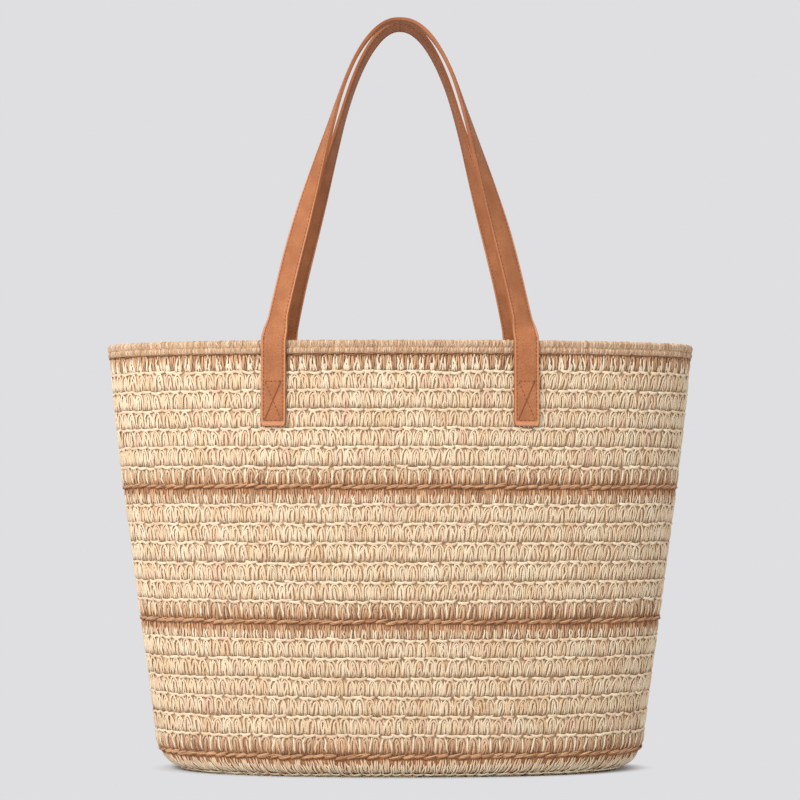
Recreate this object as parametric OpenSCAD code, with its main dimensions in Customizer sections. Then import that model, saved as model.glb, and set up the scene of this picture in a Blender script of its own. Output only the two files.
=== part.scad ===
// Beach bag: a crocheted straw tote with two leather strap handles, a cloth lining, a zipped
// pocket, a slip pocket and a magnetic snap. The front faces -Y, +Z is up, and the origin is
// at the middle of the flat base. Lengths are in millimetres.

/* [Bag] */
// Width of the bag at its rim
rim_w = 481; // [440:1:560]
// Width that the two ends lean in to at the floor, before the rounded edge
base_w = 391; // [340:1:420]
// Depth of the bag at its rim, front to back
rim_depth = 142; // [130:1:180]
// Depth at the floor, front to back, before the rounded edge
base_depth = 132; // [124:1:170]
// Height of the bag without its handles
bag_h = 345; // [325:1:420]
// How far the front and back swell at mid height
belly = 4; // [0:0.5:8]
// How far the two ends swell above mid height
end_swell = 2; // [0:0.5:5]
// Squareness of the plan: 2 is an ellipse
plan_power = 2.3; // [2:0.1:3]
// Radius of the base's rounded edge at the two ends
end_edge_r = 25; // [18:1:30]
// Radius of the base's rounded edge at the front and back
face_edge_r = 12; // [10:1:20]
// Thickness of the crocheted wall
wall_t = 4.5; // [3:0.5:5.5]

/* [Crochet courses] */
// Crochet rows from one brown course to the next
rows_between = 7; // [5:1:9]
// Height of the lowest brown course's chain above the floor
low_chain_z = 17; // [15:0.5:22]
// Height of the brown yarn in a coloured course
stripe_h = 10; // [6:0.5:11]
// How far a course's chain rises above the line that it sits on
chain_rise = 2.5; // [1.5:0.5:4]
// Height of the folded tan binding along the rim
rim_band_h = 11; // [9:0.5:16]
// How far the binding stands proud of the wall, outside and inside
rim_proud = 0.8; // [0.4:0.1:1.5]
// Thickness of the binding over the top edge
rim_cap_t = 3.5; // [2:0.5:5]

/* [Lining] */
// Gap between crochet and lining, which the stiffening board fills at the base
lining_gap = 2; // [1.5:0.25:3]
// Thickness of the lining cloth
lining_t = 0.8; // [0.4:0.1:1.2]
// Height of the leather-look facing below the rim
facing_h = 45; // [38:1:60]
// Thickness of the facing
facing_t = 1.2; // [0.8:0.1:1.4]

/* [Handles] */
// Width of a strap
strap_w = 20; // [14:1:24]
// Thickness of each of a strap's two leather layers
leather_t = 1.5; // [1:0.1:2]
// Distance between the two ends of one handle, centre to centre
strap_spread = 200; // [150:1:240]
// Height of a handle's top above the rim
handle_rise = 270; // [200:0.5:320]
// How far below the rim a strap folds, at the top of its sewn end
fold_drop = 32; // [26:1:40]
// Length of a strap end that is sewn to the wall
sewn_l = 36.5; // [30:0.5:44]
// Radius of a sewn end's corners
end_corner_r = 3; // [1:0.5:6]
// Roundness of the arch: 2 is a parabola
arch_power = 2.05; // [1.9:0.05:2.4]
// How far the arch's legs sag inwards between the rim and the top
leg_sag = 4; // [0:0.5:8]
// How far a strap leans in just above the rim
lean_in = 20; // [0:1:24]
// Turn of a strap above the rim, where 0 lies along the bag
leg_turn = 36; // [10:1:50]
// Turn of a strap at the top, where 90 lies level
top_turn = 83; // [75:1:90]
// Gap between the two handles where they lean together
handle_gap = 1; // [0.8:0.1:3]
// Gap at the fold, and between a strap and the wall behind it
fold_gap = 0.35; // [0.3:0.05:0.6]

/* [Stitching] */
// Distance of the seams from the strap's edges
seam_inset = 2.2; // [1.5:0.1:3.5]
// Width of the sewing thread
thread_w = 0.8; // [0.5:0.1:1]
// How far the thread stands out of the leather
thread_rise = 0.35; // [0.2:0.05:0.45]
// Height of the box seam on a sewn end
box_seam_h = 31; // [24:0.5:34]
// Width of the patch inside the lining behind a sewn end
patch_w = 32; // [26:1:40]
// Height of that patch
patch_h = 46; // [38:1:52]
// Thickness of that patch
patch_t = 1.2; // [0.8:0.1:2]

/* [Pockets] */
// Width of the zipped pocket
zip_pocket_w = 180; // [165:1:200]
// Height of the zipped pocket
zip_pocket_h = 130; // [100:1:150]
// Height of the zip above the floor
zip_z = 235; // [220:1:250]
// Length of the zip's coil
zip_l = 130; // [100:1:136]
// How far the zipped pocket's edges stand off the lining
pocket_stand = 1; // [0.6:0.1:2]
// Width of the slip pocket
slip_w = 130; // [100:1:150]
// Height of the slip pocket
slip_h = 110; // [80:1:140]
// Height of the slip pocket's mouth above the floor
slip_z = 240; // [200:1:260]

/* [Zip] */
// Height of one zip tape
tape_h = 10; // [8:0.5:12]
// Thickness of a zip tape
tape_t = 0.6; // [0.4:0.1:0.8]
// Height of one coil
coil_h = 1.8; // [1.4:0.1:2.2]
// Gap between the two coils, where the slider's post runs
coil_gap = 1; // [0.9:0.1:1.4]
// Running clearance of the slider
slide_gap = 0.25; // [0.2:0.05:0.4]
// Length of the slider
slider_l = 11; // [10:0.5:14]
// Thickness of the slider's plates
plate_t = 1; // [0.8:0.1:1.4]
// Radius of the bar that carries the pull
bar_r = 0.7; // [0.6:0.05:0.9]
// Radial clearance of the pull's eye on the bar
eye_gap = 0.08; // [0.05:0.01:0.1]
// Length of the pull below its bar
pull_l = 26; // [18:1:32]

/* [Snap] */
// Radius of the magnetic snap
snap_r = 9; // [7:0.5:10]
// Thickness of each half of the snap
snap_t = 2.2; // [1.8:0.1:3]
// Depth of the snap's centre below the rim
snap_drop = 24; // [22:1:28]
// Radius of the snap's stud
stud_r = 2.8; // [2:0.1:3.5]

/* [Hidden] */
// Points round the bag in each ring, and stations along half a handle
ring_points = 88;
half_stations = 28;

strap_t = 2 * leather_t;
rim_line_z = bag_h - rim_band_h;
row_h = (rim_line_z - low_chain_z) / (3 * rows_between);
stripe_top = [for (k = [1:3]) rim_line_z - k * rows_between * row_h + chain_rise];
shell_top_z = bag_h - rim_cap_t;
fold_z = bag_h - fold_drop;
sewn_top_z = fold_z - fold_gap;
sewn_low_z = sewn_top_z - sewn_l;
facing_low_z = bag_h - facing_h;
lining_out = wall_t + lining_gap;
lining_in = lining_out + lining_t;

straw = [0.88, 0.76, 0.63];
brown = [0.64, 0.47, 0.33];
tan = [0.80, 0.64, 0.50];
leather = [0.70, 0.44, 0.30];
dark_leather = [0.52, 0.31, 0.20];
cloth = [0.80, 0.74, 0.66];
thread_colour = [0.42, 0.25, 0.16];
brass = [0.80, 0.66, 0.38];

// ---- The bag's wall: every surface is named by its height z and its depth d inside the outside

function half_w(z) = let(t = z / bag_h)
    (base_w + (rim_w - base_w) * t) / 2 + end_swell * sin(180 * t * t);
function half_d(z) = let(t = z / bag_h)
    (base_depth + (rim_depth - base_depth) * t) / 2 + belly * sin(180 * t);
function edge_inset(r, h) = h < r ? r - sqrt(r * r - (r - h) * (r - h)) : 0;
function reach_x(z, d) = half_w(z) - d - edge_inset(end_edge_r - d, z - d);
function reach_y(z, d) = half_d(z) - d - edge_inset(face_edge_r - d, z - d);
function signed_pow(v, p) = sign(v) * pow(abs(v), p);

// One ring of points round the bag
function ring(z, d) = [for (i = [0:ring_points - 1]) let(a = 360 * i / ring_points)
    [reach_x(z, d) * signed_pow(cos(a), 2 / plan_power),
     reach_y(z, d) * signed_pow(sin(a), 2 / plan_power), z]];

// How far the wall lies from the middle plane at x, and the same as a point on the front wall
function wall_y(x, z, d) =
    reach_y(z, d) * pow(1 - pow(abs(x) / reach_x(z, d), plan_power), 1 / plan_power);
function on_wall(x, z, d) = [x, -wall_y(x, z, d), z];
function wall_turn(x, z) = atan2(wall_y(x - 1, z, 0) - wall_y(x + 1, z, 0), 2);
function wall_lean(x, z) = atan2(wall_y(x, z + 1, 0) - wall_y(x, z - 1, 0), 2);

// Heights from low to high, closer together near low where bend is above 1
function heights(low, high, steps, bend = 1) =
    [for (i = [0:steps]) low + (high - low) * pow(i / steps, bend)];
function backwards(list) = [for (i = [len(list) - 1:-1:0]) list[i]];

// A closed solid through rings of points. It joins its last ring to its first where wrap is set,
// and turned swaps the diagonals of its sides, so that two twisted layers share one face
module loft(rings, wrap = false, turned = false) {
    n = len(rings[0]);
    m = len(rings);
    sides = [for (j = [0:(wrap ? m - 1 : m - 2)], i = [0:n - 1])
        let(k = (i + 1) % n, q = (j + 1) % m, a = j * n + i, b = q * n + i, c = q * n + k,
            d = j * n + k)
        each (turned ? [[a, b, d], [b, c, d]] : [[a, b, c], [a, c, d]])];
    caps = wrap ? [] : [[for (i = [0:n - 1]) i], [for (i = [n - 1:-1:0]) (m - 1) * n + i]];
    polyhedron([for (r = rings) each r], concat(caps, sides), convexity = 10);
}

// A band of wall right round the bag, between two heights and two depths
module wall_band(low, high, d_out, d_in, steps = 3, bend = 1) {
    outside = heights(low, high, steps, bend);
    loft(concat([for (z = outside) ring(z, d_out)],
        [for (z = backwards(outside)) ring(z, d_in)]), wrap = true);
}

module back() { mirror([0, 1, 0]) children(); }

// ---- Crocheted shell

module base_oval() {
    top = stripe_top[2] - stripe_h;
    color(straw) loft(concat([for (z = heights(0, top, 5, 1.8)) ring(z, 0)],
        [for (z = backwards(heights(wall_t, top, 4, 1.8))) ring(z, wall_t)]));
}
module stripe(k) { color(brown) wall_band(stripe_top[k] - stripe_h, stripe_top[k], 0, wall_t, 1); }
module lower_stripe() { stripe(2); }
module middle_stripe() { stripe(1); }
module upper_stripe() { stripe(0); }
module courses(low, high, steps = 3) { color(straw) wall_band(low, high, 0, wall_t, steps); }
module lower_courses() { courses(stripe_top[2], stripe_top[1] - stripe_h, 4); }
module middle_courses() { courses(stripe_top[1], stripe_top[0] - stripe_h); }
module upper_courses() { courses(stripe_top[0], shell_top_z); }

// The binding is folded over the crochet's top edge and the facing's
binding_gap = 0.1;
binding_shoulder = 2.5;
module rim_binding() {
    leg = lining_in + binding_gap;
    inside = leg + rim_proud;
    shoulder_z = bag_h - binding_shoulder;
    crown_z = bag_h - 0.4;
    color(tan) loft([for (p = [[-rim_proud, rim_line_z], [-rim_proud, shoulder_z],
            [0.3 * wall_t, crown_z], [inside / 2, bag_h], [inside - 0.3 * wall_t, crown_z],
            [inside, shoulder_z], [inside, rim_line_z], [leg, rim_line_z],
            [leg, shell_top_z], [0, shell_top_z], [0, rim_line_z]])
        ring(p.y, p.x)], wrap = true);
}

// ---- Board and lining

module base_board() {
    color([0.55, 0.50, 0.44]) loft([ring(wall_t, wall_t), ring(lining_out, lining_out)]);
}
module lining_base() {
    color(cloth) loft([ring(lining_out, lining_out), ring(lining_in, lining_in)]);
}
// Heights up a wall at depth d, closer together round the base's edge
function edge_heights(d, high) = concat(
    [for (turn = [0:30:60]) d + (face_edge_r - d) * (1 - cos(turn))],
    heights(face_edge_r, high, 6, 1.6));
module lining_wall() {
    color(cloth) loft(concat([for (z = edge_heights(lining_out, facing_low_z)) ring(z, lining_out)],
        [for (z = backwards(edge_heights(lining_in, facing_low_z))) ring(z, lining_in)]),
        wrap = true);
}
module mouth_facing() {
    color(leather) wall_band(facing_low_z, shell_top_z, lining_in - facing_t, lining_in, 2);
}

// ---- Pockets. A pocket's panel is taut between its side edges, so it is flat, and its
// edges stand a little off the lining. The plane is placed on the front and mirrored for the back

function edge_y(w, z, stand) = wall_y(w / 2, z, lining_in) - stand;
function taut_lean(w, low, high, stand) =
    atan2(edge_y(w, high, stand) - edge_y(w, low, stand), high - low);

// ---- Slip pocket on the front of the lining

slip_low_z = slip_z - slip_h;
slip_hem_h = 8;
slip_stand = 0.2;
module on_slip() {
    translate([0, -edge_y(slip_w, slip_low_z, slip_stand), slip_low_z])
        rotate([taut_lean(slip_w, slip_low_z, slip_z, slip_stand), 0, 0]) children();
}
module slip_pocket() {
    color(cloth) on_slip() block([-slip_w / 2, slip_w / 2], [0, lining_t], [0, slip_h]);
}
module slip_pocket_hem() {
    color(leather) on_slip() block([-slip_w / 2, slip_w / 2], [lining_t, 2 * lining_t],
        [slip_h - slip_hem_h, slip_h]);
}

// ---- Zipped pocket on the back of the lining

panel_top_z = zip_z + 1.6 * tape_h;
panel_low_z = panel_top_z - zip_pocket_h;
window_h = 1.2 * tape_h;
panel_lean = taut_lean(zip_pocket_w, panel_low_z, panel_top_z, pocket_stand);
function panel_y(z) =
    edge_y(zip_pocket_w, panel_low_z, pocket_stand) + (z - panel_low_z) * tan(panel_lean);

// Puts a piece drawn round the zip, with local +Y into the bag, in place on the back wall
module on_panel() {
    back() translate([0, -panel_y(zip_z) - tape_t / 2, zip_z]) rotate([panel_lean, 0, 0]) children();
}
module block(x, y, z) {
    translate([x[0], y[0], z[0]]) cube([x[1] - x[0], y[1] - y[0], z[1] - z[0]]);
}
// The gusset is a frame of thin cloth, and each loop of points goes once round it
gusset_w = 3;
gusset_gap = 0.3;
function pocket_edge(inset) =
    let(half = zip_pocket_w / 2 - inset, low = panel_low_z + inset, top = panel_top_z - inset)
    concat([for (i = [0:11]) [half * (i / 6 - 1), top]],
        [for (i = [0:3]) [half, top + (low - top) * i / 4]],
        [for (i = [0:11]) [half * (1 - i / 6), low]],
        [for (i = [0:3]) [-half, low + (top - low) * i / 4]]);
module zip_pocket_gusset() {
    outer = pocket_edge(0);
    inner = pocket_edge(gusset_w);
    color(cloth) back() loft([
        [for (p = outer) on_wall(p[0], p[1], lining_in + gusset_gap)],
        [for (p = outer) [p[0], -panel_y(p[1]), p[1]]],
        [for (p = inner) [p[0], -panel_y(p[1]), p[1]]],
        [for (p = inner) on_wall(p[0], p[1], lining_in + gusset_gap)]], wrap = true);
}
module zip_pocket_panel() {
    half = zip_pocket_w / 2;
    lift = tape_t / 2;
    color(cloth) on_panel() difference() {
        block([-half, half], [lift, lift + lining_t],
            [panel_low_z - zip_z, panel_top_z - zip_z]);
        block([-zip_l / 2 - 4, zip_l / 2 + 4], [lift - 1, lift + lining_t + 1],
            [-window_h / 2, window_h / 2]);
    }
}

// ---- Zip

coil_top = coil_gap / 2 + coil_h;
module zip_tape(up) {
    color([0.72, 0.62, 0.50]) on_panel() mirror([0, 0, up ? 0 : 1])
        block([-zip_l / 2 - 8, zip_l / 2 + 8], [-tape_t / 2, tape_t / 2],
            [coil_top, coil_top + tape_h]);
}
module zip_tape_upper() { zip_tape(true); }
module zip_tape_lower() { zip_tape(false); }
module zip_coil(up) {
    color(brass) on_panel() mirror([0, 0, up ? 0 : 1])
        block([-zip_l / 2, zip_l / 2], [-coil_h / 2, coil_h / 2], [coil_gap / 2, coil_top]);
}
module zip_coil_upper() { zip_coil(true); }
module zip_coil_lower() { zip_coil(false); }
module zip_stops() {
    stop_l = 2.5;
    color(brass) on_panel() for (side = [0, 1]) mirror([side, 0, 0])
        block([zip_l / 2, zip_l / 2 + stop_l], [-coil_h / 2 - 0.4, coil_h / 2 + 0.4],
            [-coil_top - 0.5, coil_top + 0.5]);
}

plate_y = coil_h / 2 + slide_gap;
flange_z = coil_top + slide_gap;
slider_h = flange_z + 1.5;
rest_x = -zip_l / 2 + slider_l / 2 + slide_gap;
eye_r = bar_r + 0.9;
bar_y = plate_y + plate_t + eye_r + slide_gap;
bar_l = 6;
module slider_plate() {
    for (up = [0, 1]) mirror([0, 0, up])
        block([-slider_l / 2, slider_l / 2], [tape_t / 2 + slide_gap, plate_y + plate_t],
            [flange_z, slider_h]);
    block([-slider_l / 2, slider_l / 2], [plate_y, plate_y + plate_t], [-slider_h, slider_h]);
}
module zip_slider() {
    post_half = coil_gap / 2 - slide_gap;
    color(brass) on_panel() translate([rest_x, 0, 0]) {
        slider_plate();
        mirror([0, 1, 0]) slider_plate();
        block([-slider_l / 2, 0], [-plate_y, plate_y], [-post_half, post_half]);
        for (side = [0, 1]) mirror([side, 0, 0])
            block([bar_l / 2 - 0.2, bar_l / 2 + 1], [plate_y + plate_t, bar_y + bar_r],
                [-1.1, 1.1]);
        translate([-bar_l / 2, bar_y, 0]) rotate([0, 90, 0]) cylinder(r = bar_r, h = bar_l, $fn = 32);
    }
}
module zip_pull() {
    tab_t = 1.2;
    eye_half = bar_l / 2 - 0.2 - slide_gap;
    color(brass) on_panel() translate([rest_x, bar_y, 0]) difference() {
        union() {
            translate([-eye_half, 0, 0]) rotate([0, 90, 0])
                cylinder(r = eye_r, h = 2 * eye_half, $fn = 32);
            translate([0, tab_t / 2, 0]) rotate([90, 0, 0]) linear_extrude(tab_t)
                polygon([[-1.8, 0], [-1.8, -4], [-3.4, -7], [-3.4, 2 - pull_l], [-2, -pull_l],
                    [2, -pull_l], [3.4, 2 - pull_l], [3.4, -7], [1.8, -4], [1.8, 0]]);
        }
        translate([-bar_l, 0, 0]) rotate([0, 90, 0])
            cylinder(r = bar_r + eye_gap, h = 2 * bar_l, $fn = 32);
    }
}

// ---- Magnetic snap, one half on each side of the mouth

snap_z = bag_h - snap_drop;
module on_facing(d) {
    translate(on_wall(0, snap_z, d)) rotate([wall_lean(0, snap_z) - 90, 0, 0]) children();
}
snap_gap = 0.1;
snap_depth = lining_in + snap_gap;
module snap_socket() {
    color(brass) on_facing(snap_depth) difference() {
        union() {
            cylinder(r = snap_r, h = snap_t * 0.6, $fn = 48);
            cylinder(r = snap_r * 0.78, h = snap_t, $fn = 48);
        }
        translate([0, 0, snap_t * 0.3]) cylinder(r = stud_r + 0.3, h = snap_t, $fn = 48);
    }
}
module snap_stud() {
    color(brass) back() on_facing(snap_depth) {
        cylinder(r = snap_r, h = snap_t * 0.6, $fn = 48);
        cylinder(r = snap_r * 0.78, h = snap_t * 0.8, $fn = 48);
        cylinder(r = stud_r, h = snap_t * 1.4, $fn = 48);
    }
}
module snap_washers() {
    washer_t = 1;
    color(brass) for (side = [0, 1]) mirror([0, side, 0])
        on_facing(lining_in - facing_t - washer_t - snap_gap)
            cylinder(r = snap_r, h = washer_t, $fn = 48);
}

// ---- Sewn strap ends and the patches behind them. The wall is so nearly flat there that each
// is a flat plate, turned and leaned with the wall

strap_x = strap_spread / 2;
end_mid_z = (sewn_low_z + sewn_top_z) / 2;

// Local X runs along the wall, local Y up it, and local Z out of the bag. A flat plate there
// clears the curved wall by a small gap, outside and inside
outer_gap = 0.1;
inner_gap = 0.45;
module at_strap_end(x, d, out) {
    translate(on_wall(x, end_mid_z, d)) rotate([0, 0, wall_turn(x, end_mid_z)])
        rotate([90 + wall_lean(x, end_mid_z), 0, 0]) translate([0, 0, out]) children();
}
module rounded_low(w, h, r) {
    difference() {
        square([w, h], center = true);
        for (side = [0, 1]) mirror([side, 0]) translate([w / 2 - r, r - h / 2]) difference() {
            translate([0, -r - 1]) square([r + 1, r + 1]);
            circle(r, $fn = 32);
        }
    }
}
module end_layer(x, out) {
    at_strap_end(x, 0, out) linear_extrude(leather_t)
        rounded_low(strap_w, sewn_l, end_corner_r);
}
module end_face(x) { color(leather) end_layer(x, outer_gap + leather_t); }
module end_backing(x) { color(dark_leather) end_layer(x, outer_gap); }
module front_left_end_face() { end_face(-strap_x); }
module front_left_end_backing() { end_backing(-strap_x); }
module front_right_end_face() { end_face(strap_x); }
module front_right_end_backing() { end_backing(strap_x); }
module back_left_end_face() { back() end_face(-strap_x); }
module back_left_end_backing() { back() end_backing(-strap_x); }
module back_right_end_face() { back() end_face(strap_x); }
module back_right_end_backing() { back() end_backing(strap_x); }

patch_corner_r = 4;
module patch(x) {
    color(leather) at_strap_end(x, lining_in, -inner_gap - patch_t)
        linear_extrude(patch_t) intersection() {
            rounded_low(patch_w, patch_h, patch_corner_r);
            rotate(180) rounded_low(patch_w, patch_h, patch_corner_r);
        }
}
module front_left_patch() { patch(-strap_x); }
module front_right_patch() { patch(strap_x); }
module back_left_patch() { back() patch(-strap_x); }
module back_right_patch() { back() patch(strap_x); }

// A box seam with one diagonal, outside on the strap end and inside on the patch
module box_seam() {
    w = strap_w - 2 * seam_inset;
    top = sewn_l / 2 - 1;
    linear_extrude(thread_rise) translate([0, top - box_seam_h / 2]) {
        difference() {
            square([w + thread_w, box_seam_h + thread_w], center = true);
            square([w - thread_w, box_seam_h - thread_w], center = true);
        }
        rotate(atan2(box_seam_h, w))
            square([norm([w, box_seam_h]) - thread_w, thread_w], center = true);
    }
}
module end_stitching() {
    color(thread_colour) for (side = [0, 1], x = [-strap_x, strap_x]) mirror([0, side, 0]) {
        at_strap_end(x, 0, outer_gap + strap_t) box_seam();
        at_strap_end(x, lining_in, -inner_gap - patch_t) mirror([0, 0, 1]) box_seam();
    }
}

// ---- Handles. A strap rises flat along the wall from its fold, leans in and turns above the
// rim, and turns on to nearly level, so that the two handles lie side by side at the top

top_y = -(handle_gap + strap_w) / 2;
rim_turn = wall_turn(strap_x, bag_h);
function over_binding(z) = rim_proud * max(0, min(1, (z - rim_line_z + 5) / 4));
function flat_y(z) = -wall_y(strap_x, z, -fold_gap - over_binding(z) - strap_t / 2);
flat_heights = [fold_z, fold_z + 8, rim_line_z - 5, rim_line_z - 1, (rim_line_z + bag_h) / 2];
// The lean's steep start fades with the lean power. The rest of the way to the middle of the
// bag is gathered near the top by the close power, and the sag is deepest at half the legs
lean_power = 8;
close_power = 5.5;
sag_power = 1.3;
function arch_point(t) =
    let(rise = sin(90 * pow(t, 1.25)), way = top_y - flat_y(bag_h) - lean_in)
    [strap_x * pow(1 - rise, 1 / arch_power) - leg_sag * pow(sin(180 * pow(rise, sag_power)), 2),
     top_y - way * (1 - pow(rise, close_power)) - lean_in * pow(1 - rise, lean_power),
     bag_h + handle_rise * rise];
function eased(t) = (1 - cos(180 * max(0, min(1, t)))) / 2;
first_turn_end = 0.075;
second_turn = [0.24, 0.81];
function strap_turn(z) =
    let(rise = (z - bag_h) / handle_rise,
        share = (rise - second_turn[0]) / (second_turn[1] - second_turn[0]))
    rim_turn + (leg_turn - rim_turn) * eased(rise / first_turn_end)
    + (top_turn - leg_turn) * eased(share);

// The right half's stations from the fold to the top, each with its place, width and normal.
// Level is the direction across the bag that is square to the strap's run
half_path = concat([for (z = flat_heights) [strap_x, flat_y(z), z]],
    [for (i = [0:half_stations]) arch_point(i / half_stations)]);
last = len(half_path) - 1;
function unit(v) = v / norm(v);
function along(i) = i == last ? [-1, 0, 0]
    : i == 0 ? [0, 0, 1] : unit(half_path[i + 1] - half_path[i - 1]);
half_frames = [for (i = [0:last])
    let(travel = along(i), turn = strap_turn(half_path[i].z),
        level = unit([0, 1, 0] - travel.y * travel),
        out = sin(turn) * cross(level, travel) - cos(turn) * level)
    [half_path[i], cross(out, travel), out]];
function mirrored(v) = [-v.x, v.y, v.z];
strap_frames = concat(half_frames,
    [for (i = [last - 1:-1:0]) [for (v = half_frames[i]) mirrored(v)]]);

// A layer of the strap between two edges across its width and two depths through its thickness
module strap_layer(e_low, e_high, n_low, n_high, skip = 0, turned = false) {
    loft([for (i = [skip:len(strap_frames) - 1 - skip]) let(f = strap_frames[i])
        [f[0] + f[1] * e_low + f[2] * n_low, f[0] + f[1] * e_high + f[2] * n_low,
         f[0] + f[1] * e_high + f[2] * n_high, f[0] + f[1] * e_low + f[2] * n_high]],
        turned = turned);
}
module strap_face() { color(leather) strap_layer(-strap_w / 2, strap_w / 2, 0, leather_t); }
module strap_backing() {
    color(dark_leather) strap_layer(-strap_w / 2, strap_w / 2, -leather_t, 0, turned = true);
}
module strap_stitching() {
    seam = strap_w / 2 - seam_inset;
    color(thread_colour) for (e = [-seam, seam]) {
        strap_layer(e - thread_w / 2, e + thread_w / 2, leather_t, leather_t + thread_rise);
        strap_layer(e - thread_w / 2, e + thread_w / 2, -leather_t - thread_rise, -leather_t,
            skip = len(flat_heights) + 1);
    }
}
// The short seam across the top, where the strap's two lengths are joined
module strap_seam() {
    top = strap_frames[last];
    half = strap_w / 2 - seam_inset - thread_w;
    color(thread_colour) translate(top[0]) rotate([90 - top_turn, 0, 0])
        for (n = [leather_t, -leather_t - thread_rise])
            translate([-thread_w / 2, -half, n]) cube([thread_w, 2 * half, thread_rise]);
}
module front_strap_face() { strap_face(); }
module front_strap_backing() { strap_backing(); }
module front_strap_stitching() { strap_stitching(); }
module front_strap_seam() { strap_seam(); }
module back_strap_face() { back() strap_face(); }
module back_strap_backing() { back() strap_backing(); }
module back_strap_stitching() { back() strap_stitching(); }
module back_strap_seam() { back() strap_seam(); }

base_oval();
lower_stripe();
lower_courses();
middle_stripe();
middle_courses();
upper_stripe();
upper_courses();
rim_binding();
base_board();
lining_base();
lining_wall();
mouth_facing();
slip_pocket();
slip_pocket_hem();
zip_pocket_gusset();
zip_pocket_panel();
zip_tape_upper();
zip_tape_lower();
zip_coil_upper();
zip_coil_lower();
zip_stops();
snap_socket();
snap_stud();
snap_washers();
front_left_end_face();
front_left_end_backing();
front_right_end_face();
front_right_end_backing();
back_left_end_face();
back_left_end_backing();
back_right_end_face();
back_right_end_backing();
front_left_patch();
front_right_patch();
back_left_patch();
back_right_patch();
end_stitching();
front_strap_face();
front_strap_backing();
front_strap_stitching();
front_strap_seam();
back_strap_face();
back_strap_backing();
back_strap_stitching();
back_strap_seam();
zip_slider();
zip_pull();
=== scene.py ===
import math

import bmesh
import bpy
import numpy as np
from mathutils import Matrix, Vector


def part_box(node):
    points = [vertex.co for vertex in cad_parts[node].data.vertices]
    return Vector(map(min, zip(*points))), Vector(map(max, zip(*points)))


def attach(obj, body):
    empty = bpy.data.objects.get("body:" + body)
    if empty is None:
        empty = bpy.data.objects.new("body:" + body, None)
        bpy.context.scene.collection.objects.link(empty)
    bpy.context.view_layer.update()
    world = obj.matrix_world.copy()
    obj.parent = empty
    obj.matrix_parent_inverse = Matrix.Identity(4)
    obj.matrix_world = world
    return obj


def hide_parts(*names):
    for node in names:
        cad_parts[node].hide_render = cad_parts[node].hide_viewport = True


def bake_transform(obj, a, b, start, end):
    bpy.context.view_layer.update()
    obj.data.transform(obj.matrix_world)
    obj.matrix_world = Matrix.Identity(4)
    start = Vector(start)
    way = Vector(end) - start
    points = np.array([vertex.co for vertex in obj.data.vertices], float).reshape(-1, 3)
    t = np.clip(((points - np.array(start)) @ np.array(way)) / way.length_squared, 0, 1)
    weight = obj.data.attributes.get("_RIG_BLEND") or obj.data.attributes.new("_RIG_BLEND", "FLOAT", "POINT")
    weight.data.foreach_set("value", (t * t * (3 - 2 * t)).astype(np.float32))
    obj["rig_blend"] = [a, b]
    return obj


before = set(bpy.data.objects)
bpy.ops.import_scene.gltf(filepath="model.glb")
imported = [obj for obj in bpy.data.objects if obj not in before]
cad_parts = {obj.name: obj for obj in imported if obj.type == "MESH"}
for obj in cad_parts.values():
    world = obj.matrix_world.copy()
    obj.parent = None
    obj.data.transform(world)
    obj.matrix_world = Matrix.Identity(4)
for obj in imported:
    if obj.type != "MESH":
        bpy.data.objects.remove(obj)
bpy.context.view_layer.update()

mm = 0.001

# The bag's wall, as the part has it. Heights come from the nodes' boxes
bag = {
    "rimWidth": 0.481,
    "baseWidth": 0.391,
    "rimDepth": 0.142,
    "baseDepth": 0.132,
    "belly": 0.004,
    "endSwell": 0.002,
    "planPower": 2.3,
    "endEdge": 0.025,
    "faceEdge": 0.012,
    "liningDepth": 0.0065,
    "liningThickness": 0.0008,
}
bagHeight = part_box("rim_binding")[1].z
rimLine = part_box("rim_binding")[0].z


def edgeInset(radius, height):
    radius = np.maximum(radius, 0)
    drop = np.clip(radius - height, 0, radius)
    return radius - np.sqrt(np.maximum(radius ** 2 - drop ** 2, 0))


# How far the wall reaches from the middle at a height, along the bag or across it
def reach(z, depth, size, swell, swellPower, edge):
    share = z / bagHeight
    lean = bag["base" + size] + (bag["rim" + size] - bag["base" + size]) * share
    half = lean / 2 + bag[swell] * np.sin(math.pi * share ** swellPower)
    return half - depth - edgeInset(bag[edge] - depth, z - depth)


def reachX(z, depth):
    return reach(z, depth, "Width", "endSwell", 2, "endEdge")


def reachY(z, depth):
    return reach(z, depth, "Depth", "belly", 1, "faceEdge")


def anglesRound(count):
    return np.linspace(0, 2 * math.pi, count + 1)[:-1]


def ovalPoint(angle, reachAlong, reachAcross, z):
    cos, sin = np.cos(angle), np.sin(angle)
    power = 2 / bag["planPower"]
    x = reachAlong * np.sign(cos) * np.abs(cos) ** power
    y = reachAcross * np.sign(sin) * np.abs(sin) ** power
    return np.stack([x, y, z + np.zeros_like(x)], -1)


def wallPoint(angle, z, depth):
    return ovalPoint(angle, reachX(z, depth), reachY(z, depth), z)


def wallY(x, z, depth):
    share = np.abs(x) / reachX(z, depth)
    return reachY(z, depth) * (1 - share ** bag["planPower"]) ** (1 / bag["planPower"])


# The base is flat inside its rounded edge
baseReach = (reachX(0.0, 0.0), reachY(0.0, 0.0))


def basePoint(angle, inset, depth):
    return ovalPoint(angle, baseReach[0] - inset, baseReach[1] - inset, depth)


# Angle at a share of the way round, so that what is spread round the bag is evenly spaced
def evenAngles(surface, share):
    angles = np.linspace(0, 2 * math.pi, 1441)
    points = surface(angles)
    steps = np.linalg.norm(np.diff(points, axis=0), axis=1)
    run = np.r_[0, np.cumsum(steps)]
    return np.interp((share % 1) * run[-1], run, angles), run[-1]


def lengthRound(surface):
    return evenAngles(surface, np.zeros(1))[1]


# ---- Materials


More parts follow.
